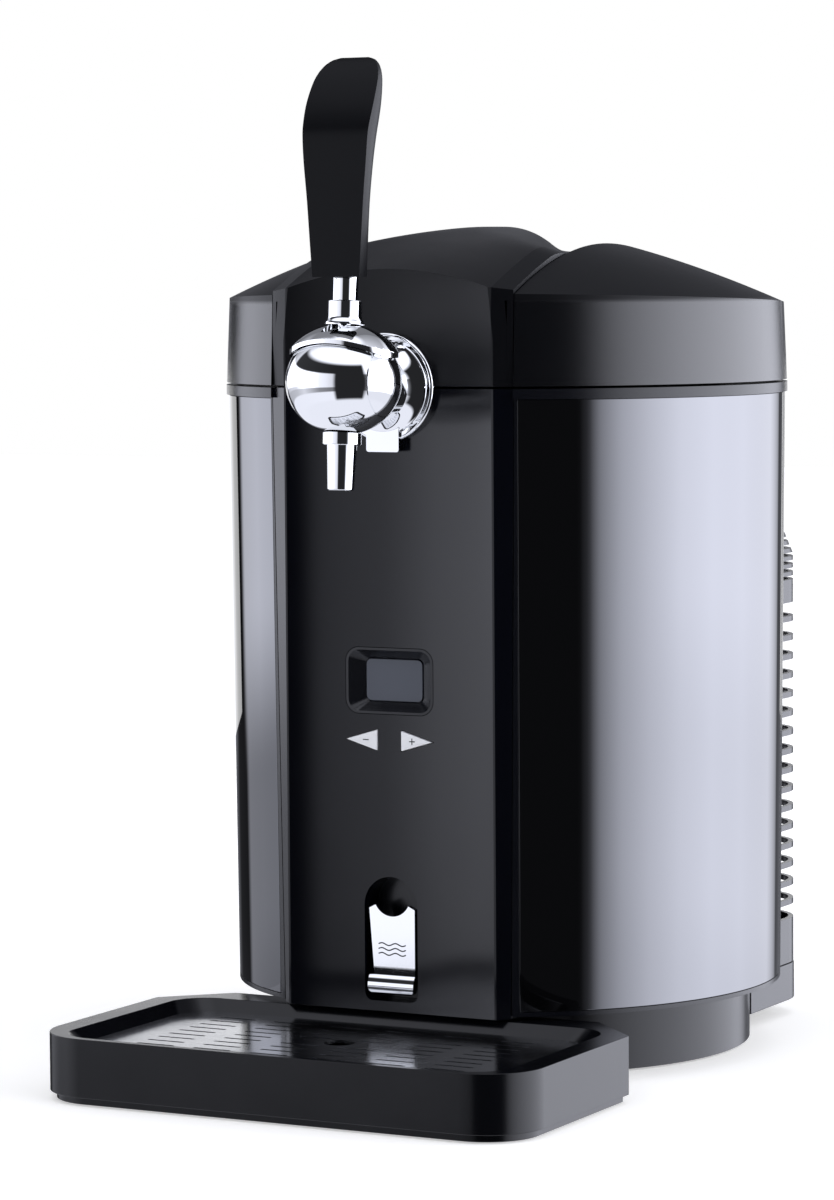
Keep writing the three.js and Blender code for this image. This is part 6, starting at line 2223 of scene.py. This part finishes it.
@dataclass
class Studio:
    """Camera, floor and soft studio light.

    The rings are the light round the object. Each has the elevations between which it takes
    over from the ring before it, and pairs of azimuth and strength. Azimuth 0 is in front of the
    dispenser and grows to its right. Over the rings hangs a soft ceiling, and under them lies the
    studio's table. The floor's half width is in metres.
    """

    location: Triple = (950.192, -1900.956, 375.255)
    azimuth: float = 27.76
    pitch: float = 4.247
    roll: float = -0.3951
    lens: float = 130.242
    sensor: float = 36.0
    clip: Pair = (0.05, 50.0)
    rings: tuple[tuple[float, float, Stops], ...] = (
        (0, 0, ((-180, 0.12), (-150, 0.3), (-137, 0.3), (-132, 0.01), (-120, 0.01), (-116, 1.4),
                (-100, 2.2), (-80, 2.4), (-60, 2.0), (-45, 1.9), (-27, 1.1), (-14, 0.98),
                (-3, 0.8), (3, 0.02), (56, 0.02), (60, 0.15), (65, 1.1), (74, 2.1), (87, 3.0),
                (102, 3.9), (120, 4.3), (140, 4.0), (166, 2.6), (178, 0.8), (180, 0.12))),
        (-4.5, -7, ((-180, 0.15), (-150, 0.3), (-132, 0.03), (-118, 0.03), (-114, 0.6),
                    (-100, 0.75), (-80, 0.85), (-60, 1.8), (-45, 1.7), (-27, 1.1), (-14, 0.98),
                    (-3, 0.8), (3, 0.02), (56, 0.02), (60, 0.15), (65, 1.05), (74, 2.0),
                    (87, 2.8), (102, 3.5), (120, 3.9), (140, 3.6), (166, 2.3), (178, 0.7), (180, 0.15))),
        (-8.5, -10.5, ((-180, 0.2), (-150, 0.3), (-132, 0.05), (-118, 0.05), (-114, 0.5),
                       (-80, 0.6), (-60, 0.8), (-27, 0.3), (-14, 0.25), (-3, 0.2), (3, 0.02),
                       (56, 0.02), (60, 0.15), (65, 1.0), (74, 1.8), (87, 2.6), (102, 3.2),
                       (120, 3.5), (140, 3.2), (166, 2.0), (178, 0.6), (180, 0.2))),
        (-17, -20, ((-180, 0.9), (-120, 0.95), (-27, 1.0), (-3, 1.0), (3, 0.02), (56, 0.02),
                    (62, 0.9), (180, 0.9))),
        (17, 20, ((-180, 0.2), (-130, 0.2), (-100, 0.8), (-95, 0.04), (3, 0.02), (56, 0.02),
                  (62, 1.5), (120, 2.5), (180, 0.3))),
        (36, 44, ((-180, 0.2), (-110, 0.25), (-80, 1.2), (80, 1.3), (120, 0.8), (180, 0.3))))
    tint: Triple = (0.93, 0.95, 1.06)
    ceiling: float = 1.5
    ceiling_from: float = 66.0
    ceiling_soft: float = 14.0
    table: float = 0.95
    table_below: float = -33.0
    table_soft: float = 8.0
    floor_half: float = 6.0
    floor_color: Triple = (0.9, 0.89, 0.84)
    floor_roughness: float = 0.6
    floor_specular: float = 0.2
    floor_glow: float = 0.45
    panels: tuple[SoftPanel, ...] = (
        SoftPanel("back_panel", (-704, 1144, 160), (0, 0, 160), 1500, 300, 0.9),)

    def camera(self) -> None:
        """Sets up the camera that was fitted to the photograph."""
        data = bpy.data.cameras.new("photo_camera")
        data.lens = self.lens
        data.sensor_width = self.sensor
        data.sensor_fit = "AUTO"
        data.clip_start, data.clip_end = self.clip
        item = bpy.data.objects.new("photo_camera", data)
        place = (Vector(self.location) + Vector((0, ROW_SHIFT, 0))) * MM
        turn = (Matrix.Rotation(math.radians(self.azimuth), 4, "Z")
                @ Matrix.Rotation(math.radians(90 - self.pitch), 4, "X")
                @ Matrix.Rotation(math.radians(self.roll), 4, "Z"))
        item.matrix_world = Matrix.Translation(place) @ turn
        bpy.context.scene.collection.objects.link(item)
        bpy.context.scene.camera = item

    def floor(self) -> None:
        """Lays the plain pale floor, in whose place glossy surfaces see the studio's table."""
        reach = self.floor_half
        mesh = bpy.data.meshes.new("floor")
        mesh.from_pydata([(-reach, -reach, 0), (reach, -reach, 0), (reach, reach, 0),
                          (-reach, reach, 0)], [], [(0, 1, 2, 3)])
        item = bpy.data.objects.new("floor", mesh)
        made = bpy.data.materials.new("pale_floor")
        made.use_nodes = True
        Wiring(made.node_tree).feed(
            made.node_tree.nodes["Principled BSDF"], Base_Color=(*self.floor_color, 1),
            Roughness=self.floor_roughness, Specular_IOR_Level=self.floor_specular,
            Emission_Color=(1, 1, 1, 1), Emission_Strength=self.floor_glow)
        mesh.materials.append(made)
        item.visible_glossy = False
        bpy.context.scene.collection.objects.link(item)

    @staticmethod
    def fade(work: Wiring, value: Socket, start: float, end: float, low: object, high: object) -> Socket:
        """A smooth change between two strengths.

        Args:
            work: adds the nodes.
            value: what the change follows.
            start: where it starts.
            end: where it ends.
            low: the strength at the start.
            high: the strength at the end.

        Returns:
            The strength.
        """
        step = work.node("ShaderNodeMapRange", {"interpolation_type": "SMOOTHSTEP"}, Value=value,
                         From_Min=start, From_Max=end)
        return work.node("ShaderNodeMix", _0=step.outputs["Result"], _2=low, _3=high).outputs[0]

    @staticmethod
    def ring(work: Wiring, share: Socket, stops: Stops) -> Socket:
        """The light of one ring.

        Args:
            work: adds the nodes.
            share: the way round, from 0 behind the object's left to 1.
            stops: pairs of azimuth and strength.

        Returns:
            The strength.
        """
        most = max(strength for _, strength in stops)
        ramp = work.node("ShaderNodeValToRGB", _0=share)
        elements = ramp.color_ramp.elements
        while len(elements) < len(stops):
            elements.new(0.5)
        for element, (azimuth, strength) in zip(elements, stops):
            element.position = azimuth / 360 + 0.5
            element.color = (strength / most,) * 3 + (1,)
        return work.math("MULTIPLY", ramp.outputs["Color"], most)

    def surroundings(self) -> None:
        """Makes the world: plain white for the camera, rings, ceiling and table for the object."""
        world = bpy.data.worlds.new("studio")
        world.use_nodes = True
        bpy.context.scene.world = world
        world.node_tree.nodes.clear()
        work = Wiring(world.node_tree)
        place = work.node("ShaderNodeTexCoord").outputs["Generated"]
        x, y, z = work.node("ShaderNodeSeparateXYZ", _0=place).outputs
        turn = work.math("ARCTAN2", x, work.math("MULTIPLY", y, -1.0))
        share = work.math("ADD", work.math("MULTIPLY", turn, 0.5 / math.pi), 0.5)
        elevation = work.math("MULTIPLY", work.math("ARCSINE", z), 180 / math.pi)
        light = self.ring(work, share, self.rings[0][2])
        for start, end, stops in self.rings[1:]:
            light = self.fade(work, elevation, start, end, light, self.ring(work, share, stops))
        light = self.fade(work, elevation, self.ceiling_from,
                          self.ceiling_from + self.ceiling_soft, light, self.ceiling)
        light = self.fade(work, elevation, self.table_below, self.table_below - self.table_soft,
                          light, self.table)
        lit = work.node("ShaderNodeBackground", Color=(*self.tint, 1), Strength=light)
        plain = work.node("ShaderNodeBackground", Color=(1, 1, 1, 1))
        seen = work.node("ShaderNodeLightPath").outputs["Is Camera Ray"]
        mix = work.node("ShaderNodeMixShader", _0=seen, _1=lit, _2=plain)
        work.node("ShaderNodeOutputWorld", Surface=mix)

    def build(self) -> None:
        """Sets up the whole studio."""
        self.camera()
        self.floor()
        self.surroundings()
        for panel in self.panels:
            panel.light_up()
        bpy.context.scene.view_settings.view_transform = "Standard"
        bpy.context.scene.view_settings.look = "None"


def main() -> None:
    """Builds the studio and every sub-assembly, and reports each piece."""
    logging.basicConfig(level=logging.INFO, format="%(name)s: %(message)s")
    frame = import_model()
    Studio().build()
    shop = Workshop(frame)
    size = DrumSize()
    controls, drain = FrontControls(size.face), Drain(size.face)
    Drum(size).build(shop, [*controls.holes(), drain.hole()])
    for assembly in (controls, drain, Lid(size, Hood()), Cooling(size), RearHousing(size),
                     Tap(size), DripTray()):
        assembly.build(shop)
    if shop.undressed():
        log.warning("without a finish: %s", ", ".join(shop.undressed()))


if __name__ == "__main__":
    main()
